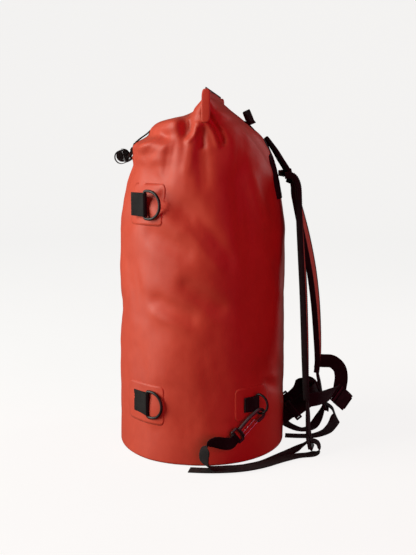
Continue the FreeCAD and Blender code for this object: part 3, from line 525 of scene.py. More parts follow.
FAR_FOLDS = [
    ((-24, 562), (-34, 524), 14, 13), ((4, 556), (-20, 520), 5, -6), ((18, 560), (30, 520), 7, 9),
    ((48, 556), (80, 516), 10, 4), ((-62, 534), (-90, 500), 8, 5), ((-80, 450), (-24, 410), 16, 6),
    ((-10, 420), (46, 350), 17, 6), ((-70, 300), (-20, 260), 13, 5), ((40, 300), (90, 240), 15, 4),
    ((-20, 220), (40, 170), 16, 3.5), ((80, 470), (104, 400), 12, -5), ((-100, 200), (-60, 130), 15, 3)]
# the same on the front (y, height) and the back
FRONT_FOLDS = [
    ((-60, 520), (-30, 470), 10, 4), ((50, 530), (20, 460), 11, 4), ((-90, 420), (-30, 360), 16, 5),
    ((80, 430), (20, 380), 15, 5), ((-40, 260), (40, 210), 18, 4), ((-10, 540), (-14, 500), 7, 2.5)]
BACK_FOLDS = [
    ((-90, 540), (-60, 500), 10, 4), ((90, 540), (64, 490), 10, 4), ((-96, 380), (-60, 300), 15, 3),
    ((100, 340), (70, 260), 15, 3), ((-80, 160), (-30, 100), 14, 2.5), ((30, 330), (-30, 250), 17, 2.5)]


def fold_depth(a, b, folds):
    """How far the folds push in at (a, b), in millimetres."""
    depth = 0.0
    for start, end, width, deep in folds:
        dx, dz = end[0] - start[0], end[1] - start[1]
        length = math.hypot(dx, dz)
        t = ((a - start[0]) * dx + (b - start[1]) * dz) / (length * length)
        off = abs((a - start[0]) * dz - (b - start[1]) * dx) / length
        beyond = max(0.0, -t, t - 1) * length
        reach = (off / width) ** 2 + (beyond / (width * 1.2)) ** 2
        if reach < 9:
            taper = 1.0 - 0.35 * min(1.0, abs(t - 0.35))
            depth += deep * taper * math.exp(-reach) * (1.15 - 0.3 * math.exp(-4 * reach))
    return depth


def line_at(line, height):
    """The value at this height of a line of (height, value) points."""
    for (z0, v0), (z1, v1) in zip(line, line[1:]):
        if z0 <= height <= z1:
            t = (height - z0) / (z1 - z0)
            return v0 + (v1 - v0) * t * t * (3 - 2 * t)
    return 0.0


def level_at(height):
    """The bag's section at any height."""
    if height <= TUBE_TOP:
        return (height, 0, BAG_R, BAG_R)
    for low, high in zip(PANEL_LEVELS, PANEL_LEVELS[1:]):
        if low[0] <= height <= high[0]:
            t = (height - low[0]) / (high[0] - low[0])
            return tuple(a + (b - a) * t for a, b in zip(low, high))
    return tuple(PANEL_LEVELS[-1])


def bag_levels():
    """(height, centre x, half depth, half width) from the base up."""
    rows = []
    for k in range(13):
        a = math.radians(7.5 * k)
        r = BAG_R - BASE_EDGE + BASE_EDGE * math.sin(a)
        rows.append((BASE_EDGE * (1 - math.cos(a)), 0, r, r))
    steps = 66
    rows += [(BASE_EDGE + (TUBE_TOP - BASE_EDGE) * k / steps, 0, BAG_R, BAG_R) for k in range(1, steps)]
    rows += [tuple(r) for r in catmull([(TUBE_TOP - 60, 0, BAG_R, BAG_R),
        (TUBE_TOP, 0, BAG_R, BAG_R)] + SHOULDER, 10)[10:]]
    return rows


def bag_point(level, turn):
    """A point of the outside with its folds; turn is measured from +X towards +Y."""
    height, cx, half_x, half_y = level
    c, s = math.cos(turn), math.sin(turn)
    # the upper bag squares up towards the flat roll
    square = max(0.0, min(1.0, (height - SQUARE_FROM) / SQUARE_OVER))
    power = 1.0 - 0.34 * square
    x = cx + half_x * math.copysign(abs(c) ** power, c)
    y = half_y * math.copysign(abs(s) ** (1.0 - 0.10 * square), s)
    near, far = max(0.0, -s), max(0.0, s)
    push = 0.0
    if near > 0.15:
        push += fold_depth(x, height, NEAR_FOLDS) * min(1, (near - 0.15) / 0.35)
    if far > 0.15:
        push += fold_depth(x, height, FAR_FOLDS) * min(1, (far - 0.15) / 0.35)
    if c < -0.35:
        push += fold_depth(y, height, FRONT_FOLDS) * min(1, (-c - 0.35) / 0.3)
    if c > 0.35:
        push += fold_depth(y, height, BACK_FOLDS) * min(1, (c - 0.35) / 0.3)
    rise = max(0.0, min(1.0, height / 60)) * max(0.0, min(1.0, (STILL_AT - height) / 16))
    askew = max(0.0, min(1.0, (height - ASKEW_FROM) / ASKEW_OVER))
    x += math.tan(ROLL_YAW) * y * askew * askew * (3 - 2 * askew)
    cx += math.tan(ROLL_YAW) * y * askew * askew * (3 - 2 * askew)
    where = V((x, y, height))
    ripple = noise.noise(where * 0.011) * 1.8 + noise.noise(where * 0.027 + V((7, 3, 1))) * 1.0
    ripple += noise.noise(where * 0.065 + V((2, 9, 4))) * 0.35
    push = (push + ripple) * rise - BASE_FLARE * near * max(0.0, 1 - height / FLARE_TOP)
    push = max(push, -MOST_OUT)
    if c < -0.2:
        push += line_at(FRONT_LINE, height) * min(1, (-c - 0.2) / 0.4)
    flat = math.hypot(x - cx, y)
    k = 1.0 - push / max(flat, 30.0)
    return V((cx + (x - cx) * k, y * k, height - 0.15 * push * square)) * MM


def make_bag():
    levels = bag_levels()
    verts, faces = [V((0, 0, 0.0006))], []
    for level in levels:
        verts += [bag_point(level, 2 * math.pi * k / AROUND) for k in range(AROUND)]
    for k in range(AROUND):
        faces.append((0, 1 + (k + 1) % AROUND, 1 + k))
    faces += ring_faces(len(levels) - 1, AROUND, 1)
    top = 1 + (len(levels) - 1) * AROUND
    faces.append(tuple(top + k for k in range(AROUND)))
    bag = turned_out(mesh_object("bag_body", verts, faces))
    bag.data.materials.append(MATERIAL["tarp"])
    put(bag, blend=("root", "collar", (0, 0, .572), (0, 0, .598)),
        replaces=["bag_shell", "base_panel", "base_weld_tape"])
    # the side seam, down the far side
    strip_levels = [l for l in levels if 16 < l[0] < 556]
    verts, faces = [], []
    spread = [(-0.072, 0.0), (-0.066, 0.35), (0.066, 0.35), (0.072, 0.0)]
    for level in strip_levels:
        for turn, out in spread:
            p = bag_point(level, SEAM_TURN + turn)
            verts.append(p + V((p.x, p.y, 0)).normalized() * out * MM)
    for i in range(len(strip_levels) - 1):
        for k in range(3):
            faces.append((i * 4 + k, i * 4 + k + 1, i * 4 + k + 5, i * 4 + k + 4))
    side = mesh_object("side_seam", verts, faces)
    side.data.materials.append(MATERIAL["tarp"])
    put(side, "root")


# ---------- rolled collar ----------
ROLL_YAW = math.radians(5.5)
ROLL_HINGE = V((19, 0, 582.5))
ROLL_LENGTH, ROLL_THICK, ROLL_HEIGHT = 288.0, 13.0, 31.0
END_DROOP = 21.0
FOLD_SIDES, FOLD_MIDDLE = 32, 4    # outline points of an end fold, and its middle's height on the roll


def make_roll():
    """The mouth folded over three times: a spiral of coated fabric pressed flat, hanging low at its ends."""
    turns, per_turn = 3, 28
    spiral = []
    for k in range(turns * per_turn + 1):
        t = k / per_turn
        a = 2 * math.pi * t - math.pi / 2
        shrink = 1.0 - 0.25 * t
        half_t, half_h = ROLL_THICK / 2 * shrink, (ROLL_HEIGHT - 0.5) / 2 * (1.0 - 0.13 * t)
        spiral.append((half_t * math.cos(a), ROLL_HEIGHT / 2 + half_h * math.sin(a)
                       * (1.0 - 0.10 * math.cos(a) ** 2)))
    stations = 61
    skin = 0.55
    verts, faces = [], []
    for i in range(stations):
        u = 2 * i / (stations - 1) - 1
        y = u * ROLL_LENGTH / 2
        # the ends droop and swell a little where the folds stack up
        droop = END_DROOP * max(0.0, (abs(u) - 0.90) / 0.10) ** 0.7
        swell = 1.0 + 0.03 * math.sin(9 * u) + 0.03 * math.sin(23 * u + 1)
        wander = 0.5 * math.sin(7 * u + 0.6)
        for side in (0, 1):
            for k, (x, z) in enumerate(spiral):
                before = spiral[max(k - 1, 0)]
                after = spiral[min(k + 1, len(spiral) - 1)]
                tx, tz = after[0] - before[0], after[1] - before[1]
                size = math.hypot(tx, tz) or 1
                nx, nz = tz / size, -tx / size
                out = skin * side
                px = (x - nx * out) * swell + wander
                pz = z - nz * out - droop * (1 - z / ROLL_HEIGHT) + 0.4 * math.sin(5 * u + 0.3 * x)
                verts.append(roll_place(px, y, min(pz, ROLL_HEIGHT + 0.4)))
    n = len(spiral)
    for i in range(stations - 1):
        a, b = i * 2 * n, (i + 1) * 2 * n
        for k in range(n - 1):
            faces.append((a + k, a + k + 1, b + k + 1, b + k))
            faces.append((a + n + k, b + n + k, b + n + k + 1, a + n + k + 1))
        faces.append((a, b, b + n, a + n))
        faces.append((a + n - 1, a + 2 * n - 1, b + 2 * n - 1, b + n - 1))
    for i in (0, stations - 1):
        a = i * 2 * n
        for k in range(n - 1):
            faces.append((a + k, a + k + 1, a + n + k + 1, a + n + k))
    roll = turned_out(mesh_object("rolled_collar", verts, faces))
    roll.data.materials.append(MATERIAL["tarp"])
    parts = [roll]
    for end in (-1, 1):
        outline = []
        for k in range(FOLD_SIDES):
            a = 2 * math.pi * k / FOLD_SIDES
            c, q = math.cos(a), math.sin(a)
            outline.append((6.9 * math.copysign(abs(c) ** 0.55, c) + 0.8 * q,
                4.0 + 26.5 * math.copysign(abs(q) ** 0.35, q)))
        verts = []
        for depth, size in ((-6, 0.93), (0.2, 0.97), (0.7, 0.9), (0.9, 0.7)):
            verts += [roll_place(x * size, end * (ROLL_LENGTH / 2 + depth),
                FOLD_MIDDLE + (z - FOLD_MIDDLE) * size) for x, z in outline]
        faces = ring_faces(3, FOLD_SIDES)
        faces += [tuple(range(FOLD_SIDES)), tuple(3 * FOLD_SIDES + k for k in range(FOLD_SIDES))]
        fold = turned_out(mesh_object(f"end_fold{end}", verts, faces))
        fold.data.materials.append(MATERIAL["tarp"])
        parts.append(fold)
    return merged("rolled_collar", parts)


def roll_place(x, y, z):
    """From the roll's own frame, in millimetres, to the bag's, in metres."""
    c, s = math.cos(ROLL_YAW), math.sin(ROLL_YAW)
    return (ROLL_HINGE + V((c * x + s * y, c * y - s * x, z))) * MM


# ---------- patches, webbing tabs and small soft pieces on the wall ----------
def on_wall(angle, height, out=0.0):
    """(origin, tangent, normal) on the bag's side, angle in degrees from -Y towards +X."""
    a = math.radians(angle)
    normal = V((math.sin(a), -math.cos(a), 0))
    return (normal * (BAG_R + out) + V((0, 0, height))) * MM, V((math.cos(a), math.sin(a), 0)), normal


def wall_patch(name, angle, height, low, high, tall, corner=9.0, out=0.22):
    """A welded patch with rounded corners that lies on the wall's folds."""
    across, up = 26, 16
    verts = []
    for i in range(up + 1):
        v = 2 * i / up - 1
        for k in range(across + 1):
            u = 2 * k / across - 1
            half_wide = math.radians(high - low) / 2 * BAG_R
            half_tall = tall / 2
            px, py = u * half_wide, v * half_tall
            # pull the corners in to a rounded outline
            ex, ey = abs(px) - (half_wide - corner), abs(py) - (half_tall - corner)
            if ex > 0 and ey > 0:
                reach = math.hypot(ex, ey)
                if reach > 0:
                    most = max(ex, ey)
                    px = math.copysign(half_wide - corner + ex * most / reach, px)
                    py = math.copysign(half_tall - corner + ey * most / reach, py)
            rim = max(abs(u), abs(v))
            turn = math.radians(angle + (low + high) / 2) + px / BAG_R
            level = level_at(height + py)
            skin = bag_point(level, turn - math.pi / 2)
            _, _, normal = on_wall(math.degrees(turn), height + py)
            nx, ny = abs(normal.x), abs(normal.y)
            plain = (level[2] * nx + level[3] * ny) / (nx + ny) * MM
            reach = max(math.hypot(skin.x, skin.y), plain - (1.6 + 8 * rim ** 4) * MM)
            verts.append(V((normal.x, normal.y, 0)) * (reach + out * MM) + V((0, 0, skin.z)))
    patch = mesh_object(name, verts, grid_faces(up, across))
    thick = patch.modifiers.new("thick", "SOLIDIFY")
    thick.thickness = 0.5 * MM
    thick.offset = -1
    applied(patch)
    patch.data.materials.append(MATERIAL["tarp"])
    return patch


def tab_piece(name, angle, height, width, strip, wire):
    """A tab as one folded strip: out along the wall, round the ring's bar, back on top of itself."""
    side = 1 if abs(angle) < 90 else -1
    bar, tangent, normal = on_wall(angle, height, 1.2 + 1.6 + 0.3 + wire)
    tangent = tangent * side
    wrap = (wire + 0.3 + 0.8) * MM
    rows = []
    for k in range(4):
        p, _, n = on_wall(angle - side * strip * (1 - k / 4.6), height, 2.0)
        rows.append((p / MM, Z, width))
    for q in range(-90, 91, 30):
        a = math.radians(q)
        rows.append(((bar + tangent * (wrap * math.cos(a)) + normal * (wrap * math.sin(a))) / MM, Z, width))
    for k in range(3, -1, -1):
        p, _, n = on_wall(angle - side * strip * (1 - k / 5.2), height, 3.6 if k < 3 else 4.5)
        rows.append((p / MM, Z, width))
    web = webbing(name + "_web", rows, 3, 1.5 * MM)
    parts = [web]
    for share in (0.18, 0.62):
        line, ups = [], []
        for k in range(9):
            p, _, n = on_wall(angle - side * strip * (1 - share), height + (k / 4 - 1) * (width / 2 - 2.5),
                5.0)
            line.append(p)
            ups.append(n)
        parts.append(stitches(name + "_stitch", line, ups, 3.2 * MM, 2.2 * MM, 0.24 * MM))
    return merged(name, parts)


LASH_ANGLE, LASH_HEIGHTS, LASH_W = -38.4, (98.0, 431.4), 38.0
STRAP_ANGLE, STRAP_HEIGHT, STRAP_W = 37.3, 99.5, 25.0


def mirror_angle(angle):
    """The same place on the far side."""
    return 180 - angle


def make_wall_pieces():
    lash = [wall_patch(f"p{k}", a, h, lo, hi, 68)
            for k, (a, h, lo, hi) in enumerate([(LASH_ANGLE, h, -19.4, 12.5) for h in LASH_HEIGHTS]
                                               + [(mirror_angle(LASH_ANGLE), h, -12.5, 19.4)
                                                   for h in LASH_HEIGHTS])]
    strap = [wall_patch("q0", STRAP_ANGLE, STRAP_HEIGHT, -15.5, 13, 58),
             wall_patch("q1", mirror_angle(STRAP_ANGLE), STRAP_HEIGHT, -13, 15.5, 58)]
    belt = [wall_patch(f"r{k}", 90.0 + a, 54, -9.5, 9.5, 48, 7.0, 0.4)
            for k, a in ((0, -10.4), (1, 12.0))]
    for name, group, node in (("lash_patch_set", lash, "lash_patches"),
        ("strap_patch_set", strap, "strap_patches"),
                              ("belt_patch_set", belt, "belt_patches")):
        put(merged(name, group), "root", replaces=[node])
    for side, turn in (("near", lambda a: a), ("far", mirror_angle)):
        for level, height in zip(("lower", "upper"), LASH_HEIGHTS):
            tab = tab_piece(f"{side}_{level}_lash_loop", turn(LASH_ANGLE), height, LASH_W, 13.4, 2.4)
            put(tab, "root", replaces=[f"{side}_{level}_lash_tab"])
        tab = tab_piece(f"{side}_strap_loop", turn(STRAP_ANGLE), STRAP_HEIGHT, STRAP_W, 9.0, 2.0)
        put(tab, "root", replaces=[f"{side}_strap_tab"])


# ---------- shoulder straps ----------
NEAR_STRAP = [
    ((139, -40, 473.5), (0, 1, 0), 44), ((150, -41, 473), (.02, 1, 0), 46),
    ((157.5, -42, 460), (.05, 1, 0), 50), ((160, -46, 436), (.08, 1, 0), 54),
    ((161.5, -52, 404), (.12, 1, 0), 57), ((165, -59, 350), (.15, 1, 0), 58),
    ((168.5, -66, 290), (.16, 1, 0), 58), ((171, -72, 230), (.16, 1, 0), 57),
    ((173, -77, 170), (.15, 1, 0), 54), ((174.5, -82, 120), (.12, 1, 0), 46),
    ((176, -84, 98), (.10, 1, 0), 38)]
FAR_STRAP = [
    ((139, 40, 473.5), (0, 1, 0), 44), ((150, 41, 473), (.02, 1, 0), 46),
    ((158.5, 42, 460), (.08, 1, 0), 50), ((163, 46, 438), (.14, 1, 0), 54),
    ((173, 52, 404), (.22, 1, 0), 57), ((187, 59, 352), (.25, 1, 0), 58),
    ((199.5, 66, 296), (.25, 1, 0), 58), ((208.5, 72, 238), (.24, 1, 0), 57),
    ((214, 76, 180), (.22, 1, 0), 54), ((217, 79, 128), (.18, 1, 0), 46), ((215, 79, 100), (.15, 1, 0), 38)]


def strap_pieces(side, stations):
    """Mesh-faced foam pad towards the bag, coloured shell outwards, edge tape and stitching."""
    frames = strip_frames(stations, 9)
    # the normal is turned so that it points away from the bag
    turned = []
    for point, across, normal, width in frames:
        turned.append((point, across, normal if normal.x > 0 or normal.z > 0.5 else -normal, width))
    frames = turned
    out = 1 if frames[len(frames) // 2][2].x > 0 else -1
    n = len(frames)

    def layer(name, low, high, material, puff):
        outline = [(-1, low)] + [(-0.97 + 1.94 * k / 12,
            high + puff * (1 - abs(-0.97 + 1.94 * k / 12) ** 2.6))
                                 for k in range(13)]
        outline += [(1, low)] + [(0.9 - 1.8 * k / 8, low - 0.4 * puff * (1 - abs(0.9 - 1.8 * k / 8) ** 2))
            for k in range(9)]
        piece = section_strip(name, frames, [(u, off * out) for u, off in outline])
        piece.data.materials.append(material)
        return piece

    pad = layer(f"{side}_shoulder_pad", -2.2 * MM, 3.6 * MM, MATERIAL["mesh"], 1.3 * MM)
    put(pad, f"{side}_strap", replaces=[f"{side}_strap_pad"])
    shell = layer(f"{side}_shoulder_shell", 5.1 * MM, 5.9 * MM, MATERIAL["strap_orange"], 1.0 * MM)
    put(shell, f"{side}_strap", replaces=[f"{side}_strap_shell"])
    tapes = []
    for edge in (-1, 1):
        line = [(p + a * (edge * (w / 2 + 0.4 * MM)) + m * (out * 2.1 * MM), m * out, a * edge) for p, a,
                m, w in frames]
        verts = []
        outline = [(-2.2, -5.0), (0.4, -5.2), (1.5, -3.0), (1.6, 0.5), (1.3, 4.0), (0.2, 5.2), (-2.4, 5.0),
                   (-2.4, 4.3),
                   (0.0, 4.3), (0.6, 0.0), (0.0, -4.4), (-2.2, -4.3)]
        m = len(outline)
        for p, up, sideways in line:
            verts += [p + sideways * (u * MM) + up * (v * MM) for u, v in outline]
        faces = ring_faces(n - 1, m)
        faces.append(tuple(range(m))[::-1])
        faces.append(tuple((n - 1) * m + k for k in range(m)))
        tape = turned_out(mesh_object("tape", verts, faces))
        tape.data.materials.append(MATERIAL["binding"])
        tapes.append(tape)
        dots = [p + s * (-1.4 * MM) + up * (5.1 * MM) for p, up, s in line]
        tapes.append(stitches("seam", dots, [up for _, up, _ in line]))
    binding = merged(f"{side}_edge_tape", tapes)
    put(binding, f"{side}_strap", replaces=[f"{side}_strap_binding"])


# ---------- webbing ----------
def rows_of(points, width):
    return [(p[:3], p[3:], width) for p in points]


def looped(name, rows, width, bars=(), bar_r=2.0):
    """Webbing along rows, with a sleeve round each bar: (centre, axis)."""
    parts = [webbing(name + "_run", rows_of(rows, width), 5)]
    for centre, axis in bars:
        c, a = V(centre), V(axis).normalized()
        u = a.orthogonal().normalized()
        w = a.cross(u)
        ring = [c + (u * math.cos(q) + w * math.sin(q)) * (bar_r + 1.1) for q in
                (2 * math.pi * k / 20 for k in range(21))]
        parts.append(webbing(name + "_turn", [(tuple(p), tuple(a), width) for p in ring], 1, 1.4 * MM))
    return merged(name, parts)


def put(piece, ride=None, blend=None, replaces=()):
    if replaces:
        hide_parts(*replaces)
    if blend:
        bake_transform(piece)
    else:
        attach(piece, ride)
    return piece


HOOK_BAR, HOOK_SIDE = (54.9, -142, 48.6), (.49, .373, -.788)
NEAR_LOOP = [
    (54.2, -142.6, 47.6, -.49, -.373, .788), (48, -149, 41.5, -.49, -.37, .79),
    (36, -159, 44, -.4, -.2, .9), (19, -168, 50, .2, -.2, .96), (7, -171, 43, .6, -.3, .75),
    (2.5, -173, 30, .75, -.5, .3), (4, -173, 16, .6, -.8, .1), (13, -169, 6, .3, -.95, 0),
    (28, -163, 3, .1, -1, 0), (42, -159, 2.2, .15, -1, 0), (56, -155.6, 1.4, .22, -.97, 0),
    (70, -152, 1.3, .3, -.95, 0)]
NEAR_REST = [
    (70, -152, 1.3, -.3, .95, 0), (101, -136, 1.3, -.6, .8, 0), (130, -108, 1.3, -.66, .75, 0),
    (158, -84, 3.5, -.5, .85, 0), (174, -82.5, 12, .2, .97, 0), (184.8, -86.5, 22.9, .28, .96, 0)]
NEAR_TAIL = [
    (184.8, -86.5, 22.9, .28, .96, 0), (198, -90, 19, .28, .96, 0), (200, -94, 7, .32, .95, 0),
    (187, -100, 2, -.42, .9, 0), (160, -110, 3.2, -.5, .85, 0), (130, -128, 3.2, -.6, .8, 0),
    (96, -152, 3.2, -.5, .85, 0), (60, -167, 3.2, -.2, 1, 0), (18, -172, 3.2, -.02, 1, 0),
    (-22, -165, 1.4, .1, 1, 0)]
FAR_LOOP = [
    (54.2, 142.6, 47.6, -.49, .373, .788), (48, 149, 41.5, -.49, .37, .79), (35, 159, 43, -.4, .2, .9),
    (17, 169, 42, .3, .2, .9), (10, 172, 31, .7, .4, .6), (11, 173, 18, .7, .7, 0), (30, 169, 5, .1, 1, 0),
    (56, 161, 1.8, .25, 1, 0), (92, 146, 1.3, .5, .85, 0)]
FAR_REST = [
    (92, 146, 1.3, .5, .85, 0), (124, 118, 1.3, .7, .7, 0), (148, 82, 1.3, .9, .4, 0),
    (162, 46, 1.3, .9, .45, 0), (184, 22, 1.3, .3, .95, 0), (207, 36, 3.6, -.8, .6, 0),
    (225, 62, 22, -.2, .98, 0), (231.9, 71.9, 37.7, .2, .98, 0)]
FAR_TAIL = [
    (231.9, 71.9, 37.7, .2, .98, 0), (247, 71, 27, .2, .98, 0), (252, 69, 15, .25, .97, 0),
    (252, 60, 8.5, .6, .8, 0), (247, 45, 6, .9, .4, 0), (238, 24, 5, .91, -.4, 0),
    (226, 4, 3.8, .83, -.55, 0), (204, -9, 1.6, .3, -.95, 0), (178, -11, 1.3, .05, 1, 0),
    (150, -8, 1.3, .1, 1, 0)]


def signs_kept(rows):
    """Width directions turned so that neighbours agree, which keeps a strip from twisting over."""
    out = [rows[0]]
    for row in rows[1:]:
        before = V(out[-1][3:])
        out.append(row if V(row[3:]).dot(before) >= 0 else (*row[:3], *(-c for c in row[3:])))
    return out


def make_adjusters():
    for side, loop, rest, tail in (("near", NEAR_LOOP, NEAR_REST, NEAR_TAIL),
        ("far", FAR_LOOP, FAR_REST, FAR_TAIL)):
        s = 1 if side == "near" else -1
        bar = ((HOOK_BAR[0], HOOK_BAR[1] * s, HOOK_BAR[2]), (HOOK_SIDE[0], HOOK_SIDE[1] * s, HOOK_SIDE[2]))
        first = looped(f"{side}_adjuster_front", signs_kept(loop), 20, [bar])
        put(first, blend=("root", f"{side}_hook", (0.012, -0.17 * s, 0.012),
            (0.05, -0.146 * s, 0.044)))
        lock = rest[-1]
        second = looped(f"{side}_adjuster_back", signs_kept(rest), 20, [(lock[:3], lock[3:])])
        third = webbing(f"{side}_adjuster_tail_run", rows_of(signs_kept(tail), 20), 5)
        back = merged(f"{side}_adjuster", [second, third])
        end = V(lock[:3]) * MM
        put(back, blend=("root", f"{side}_strap", (end.x - 0.03, end.y, 0.004), tuple(end)),
            replaces=[f"{side}_adjuster_webbing"])


def make_webbing():
    for side, stations, bar, across in (("near", NEAR_STRAP, (182, -86, 33), (.28, .96, 0)),
                                        ("far", FAR_STRAP, (227, 72, 47), (.20, .98, 0))):
        end = stations[-1]
        rows = [(end[0][0] + 3, end[0][1] + 1, end[0][2] + 32, *end[1]),
                (end[0][0] + 3, end[0][1], end[0][2], *end[1]),
                ((end[0][0] + bar[0]) / 2 + 2, (end[0][1] + bar[1]) / 2, (end[0][2] + bar[2]) / 2,
                 *across), (*bar, *across)]
        thick = webbing(f"{side}_lock_run", rows_of(signs_kept(rows), 25), 5, 4.6 * MM)
        web = merged(f"{side}_lock_strap", [thick, looped(f"{side}_lock_turn", signs_kept(rows), 25, [(bar,
            across)])])
        put(web, f"{side}_strap", replaces=[f"{side}_lock_webbing"])
    y_axis = V((.593, .280, .755))
    near = [(182, -66, 87, 0, 0, 1), (186, -64, 87, 0, 0, 1), (205, -54, 87, .05, 0, 1),
            (223, -34, 86, .15, 0, 1),
            (234, -12, 83, .4, .1, .9), (240.9, 6.3, 80.4, *y_axis)]
    web = looped("sternum_near", signs_kept(near), 25, [((240.9, 6.3, 80.4), tuple(y_axis))])
    put(web, blend=("near_strap", "sternum_male", (.200, -.056, .087), (.236, -.006, .082)),
        replaces=["sternum_webbing_near"])
    far = [(222, 78, 119, .1, .3, 1), (229, 76, 119, .1, .3, 1), (246, 74, 118, .2, .3, 1),
           (259, 69, 107, .5, .2, .8),
           (262, 62, 91, .8, .2, .5), (259, 54, 75, .7, .3, .6), (256, 45, 59, .6, .3, .75),
           (267.3, 25, 52.8, *y_axis)]
    web = looped("sternum_far", signs_kept(far), 25, [((267.3, 25, 52.8), tuple(y_axis))])
    put(web, "far_strap", replaces=["sternum_webbing_far"])
    ring_side = (-.62, 0, .78)
    belt_side = (-.345, -.011, .938)
    near = [(163, -26, 57, *ring_side), (168.2, -26, 60.8, *ring_side), (180, -26, 70, *ring_side),
            (192, -26, 79, *ring_side),
            (202, -21, 86, -.4, 0, .9), (209.1, -4.3, 87.4, *belt_side)]
    web = looped("belt_near", signs_kept(near), 30,
                 [((161.5, -26, 55.5), ring_side), ((209.1, -4.3, 87.4), belt_side)])
    put(web, blend=("root", "belt_male", (.192, -.026, .079), (.207, -.010, .087)),
        replaces=["near_belt_webbing"])
    far = [(163, 30, 57, *ring_side), (168.2, 30, 60.8, *ring_side), (178, 36, 69, *ring_side),
           (184, 50, 77, -.45, .1, .88),
           (194.1, 40.6, 82.4, *belt_side)]
    web = looped("belt_far", signs_kept(far), 30,
                 [((161.5, 30, 55.5), ring_side), ((194.1, 40.6, 82.4), belt_side)])
    put(web, "root", replaces=["far_belt_webbing"])


def make_back():
    """Yoke panel, lifter, haul loop and its feet."""
    # height and width of the panel from its top edge down
    rows = [(534.6, 92), (508, 108), (482, 120), (456, 124), (436, 118)]
    line = catmull(rows, 8)
    verts = []
    across = 30
    for z, width in line:
        for k in range(across + 1):
            u = 2 * k / across - 1
            y = u * width / 2
            level = min(range(len(PANEL_LEVELS)), key=lambda q: abs(PANEL_LEVELS[q][0] - z))
            half_x, half_y = PANEL_LEVELS[level][2], PANEL_LEVELS[level][3]
            px = PANEL_LEVELS[level][1] + half_x * (1 - (y / half_y) ** 2) ** 0.5
            lift = 1.8 - 1.2 * max(0.0, abs(u) - 0.95) / 0.05
            verts.append(V((px + lift * 0.9, y, z + lift * 0.3)) * MM)
    panel = mesh_object("yoke", verts, grid_faces(len(line) - 1, across))
    thick = panel.modifiers.new("thick", "SOLIDIFY")
    thick.thickness, thick.offset = 1.6 * MM, 1
    applied(panel)
    panel.data.materials.append(MATERIAL["panel"])
    put(panel, "root", replaces=["yoke_panel"])
    lift_rows = [(108.5, 0, 539, 0, 1, 0), (113, 0, 533.5, 0, 1, 0), (125.5, 0, 516, 0, 1, 0),
                 (135, 0, 500.5, 0, 1, 0),
                 (143.5, 0, 487.5, 0, 1, 0), (150, 0, 474.5, 0, 1, 0)]
    lift = webbing("load_lifter", [(r[:3], r[3:], w) for r, w in zip(lift_rows, (38, 48, 74, 88, 92, 86))],
                   6, 6.5 * MM)
    put(lift, blend=("root", "near_strap", (.125, 0, .518), (.146, 0, .489)),
        replaces=["lifter_webbing"])
    yokes = [webbing(f"y{k}", rows_of([(149, y, 461, 0, 1, 0), (151.5, y, 473, 0, 1, 0),
        (149, y, 486, 0, 1, 0)], 24), 5, 5 * MM)
             for k, y in enumerate((-13.4, 13.4))]
    put(merged("strap_joiner", yokes), "near_strap", replaces=["strap_yoke"])
    up, slope = V((-.39, 0, .92)).normalized(), V((0.75, 0, -0.67))
    upright = V((up.z, 0, -up.x))
    base = V((84.5, 0, 559.5))
    rise = [(1.0, 1.5, slope), (0.97, 8, slope), (0.80, 19, (slope + upright).normalized()),
            (0.45, 25.5, upright), (0, 26, upright)]
    rows = [(tuple(base - Y * (42 * f) + up * r), tuple(a), 11) for f, r, a in rise]
    rows += [(tuple(base + Y * (42 * f) + up * r), tuple(a), 11) for f, r, a in rise[-2::-1]]
    haul = webbing("grab_handle", rows, 6)
    put(haul, blend=("root", "haul_handle", (.084, 0, .5605), (.081, 0, .568)),
        replaces=["haul_loop"])
    feet = [webbing(f"foot{k}", rows_of([(70, y, 565.2, 0, 1, 0), (79.5, y, 557.6, 0, 1, 0), (87, y, 549.6,
        0, 1, 0)], 18), 4)
            for k, y in enumerate((-42, 42))]
    put(merged("handle_feet", feet), "root", replaces=["haul_feet"])


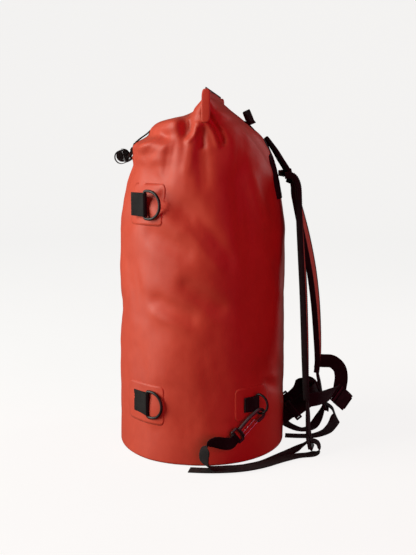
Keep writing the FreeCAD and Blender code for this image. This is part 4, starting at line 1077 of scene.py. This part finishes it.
# ---------- front closure ----------
def make_closure():
    coil = []
    centre = V((-138.8, 0, 508.2))
    turns, r_in, r_out = 6.4, 1.2, 11.2
    for k in range(int(turns * 24) + 1):
        t = k / (turns * 24)
        a = 2 * math.pi * turns * t - 0.6
        r = r_in + (r_out - r_in) * t
        coil.append(((centre.x + r * math.cos(a), 0, centre.z + r * math.sin(a)), (0, 1, 0), 25))
    roll = webbing("rolled_tail", coil, 1, 1.15 * MM)
    put(roll, "closure", replaces=["closure_tail_coil"])
    rows = [(-121, 0, 506, 0, 1, 0), (-127, 0, 500.5, 0, 1, 0), (-133.5, 0, 497.5, 0, 1, 0)]
    wrap = webbing("tail_wrap", rows_of(rows, 25), 5, 3.2 * MM)
    put(wrap, "closure")
    verts = []
    for i in range(17):
        for k in range(13):
            skin = bag_point(level_at(500 + 3.1 * i), math.pi + (k / 6 - 1) * 0.235)
            verts.append(skin + V((-0.5, 0, 0.3)) * MM)
    patch = mesh_object("closure_patch", verts, grid_faces(16, 12))
    patch.data.materials.append(MATERIAL["tarp"])
    put(patch, "root", replaces=["front_patch"])
    tab_rows = [(-88, 0, 553, 0, 1, 0), (-97, 0, 545, 0, 1, 0), (-108.5, 0, 537, 0, 1, 0),
                (-116.2, 0, 530.5, 0, 1, 0)]
    tab = looped("closure_tab", tab_rows, 25, [((-116.2, 0, 526.5), (0, 1, 0))])
    put(tab, "root", replaces=["front_tab"])
    bar = V((-11.9, 0, 29))
    start = [(-7.6, 0, 8), (-7.6, 0, 18), (-8.2, 0, 24), (-9.6, 0, 26.6)]
    rows = [(tuple(roll_place(*p) / MM), tuple(roll_place(0, 1, 0) / MM - roll_place(0, 0, 0) / MM), 25)
            for p in start]
    side = tuple(roll_place(0, 1, 0) / MM - roll_place(0, 0, 0) / MM)
    loop = looped("roll_loop", [(*p, *a) for p, a, _ in rows], 25, [(tuple(roll_place(*bar) / MM), side)])
    put(loop, "collar", replaces=["roll_tab"])


# ---------- CAD nodes that keep their shape ----------
FINISH = {"closure_buckle_female": "plastic", "closure_buckle_male": "plastic",
          "sternum_buckle_female": "plastic",
          "sternum_buckle_male": "plastic", "belt_buckle_female": "plastic", "belt_buckle_male": "plastic",
          "coil_keeper": "elastic", "mouth_stiffener": "stiffener"}
FINISH_BY_END = {"lash_ring": "coated", "strap_ring": "coated", "belt_ring": "coated",
                 "carabiner": "plastic_grey",
                 "carabiner_gate": "steel", "ladder_lock": "plastic", "belt_anchor": "webbing"}


def finish_nodes():
    """Every CAD node that shows gets its finish."""
    for name, node in NODES.items():
        if node.hide_render:
            continue
        finish = FINISH.get(name)
        if not finish:
            ends = [e for e in FINISH_BY_END if name.endswith(e)]
            finish = FINISH_BY_END[max(ends, key=len)] if ends else "webbing"
        node.data.materials.clear()
        node.data.materials.append(MATERIAL[finish])


# ---------- run ----------
make_camera()
make_world()
make_lights()
make_stage()
make_materials()
PANEL_LEVELS = catmull([(TUBE_TOP - 60, 0, BAG_R, BAG_R), (TUBE_TOP, 0, BAG_R, BAG_R)] + SHOULDER, 20)
make_bag()
roll = make_roll()
put(roll, "collar", replaces=["collar_roll"])
make_wall_pieces()
strap_pieces("near", NEAR_STRAP)
strap_pieces("far", FAR_STRAP)
make_adjusters()
make_webbing()
make_back()
make_closure()
finish_nodes()
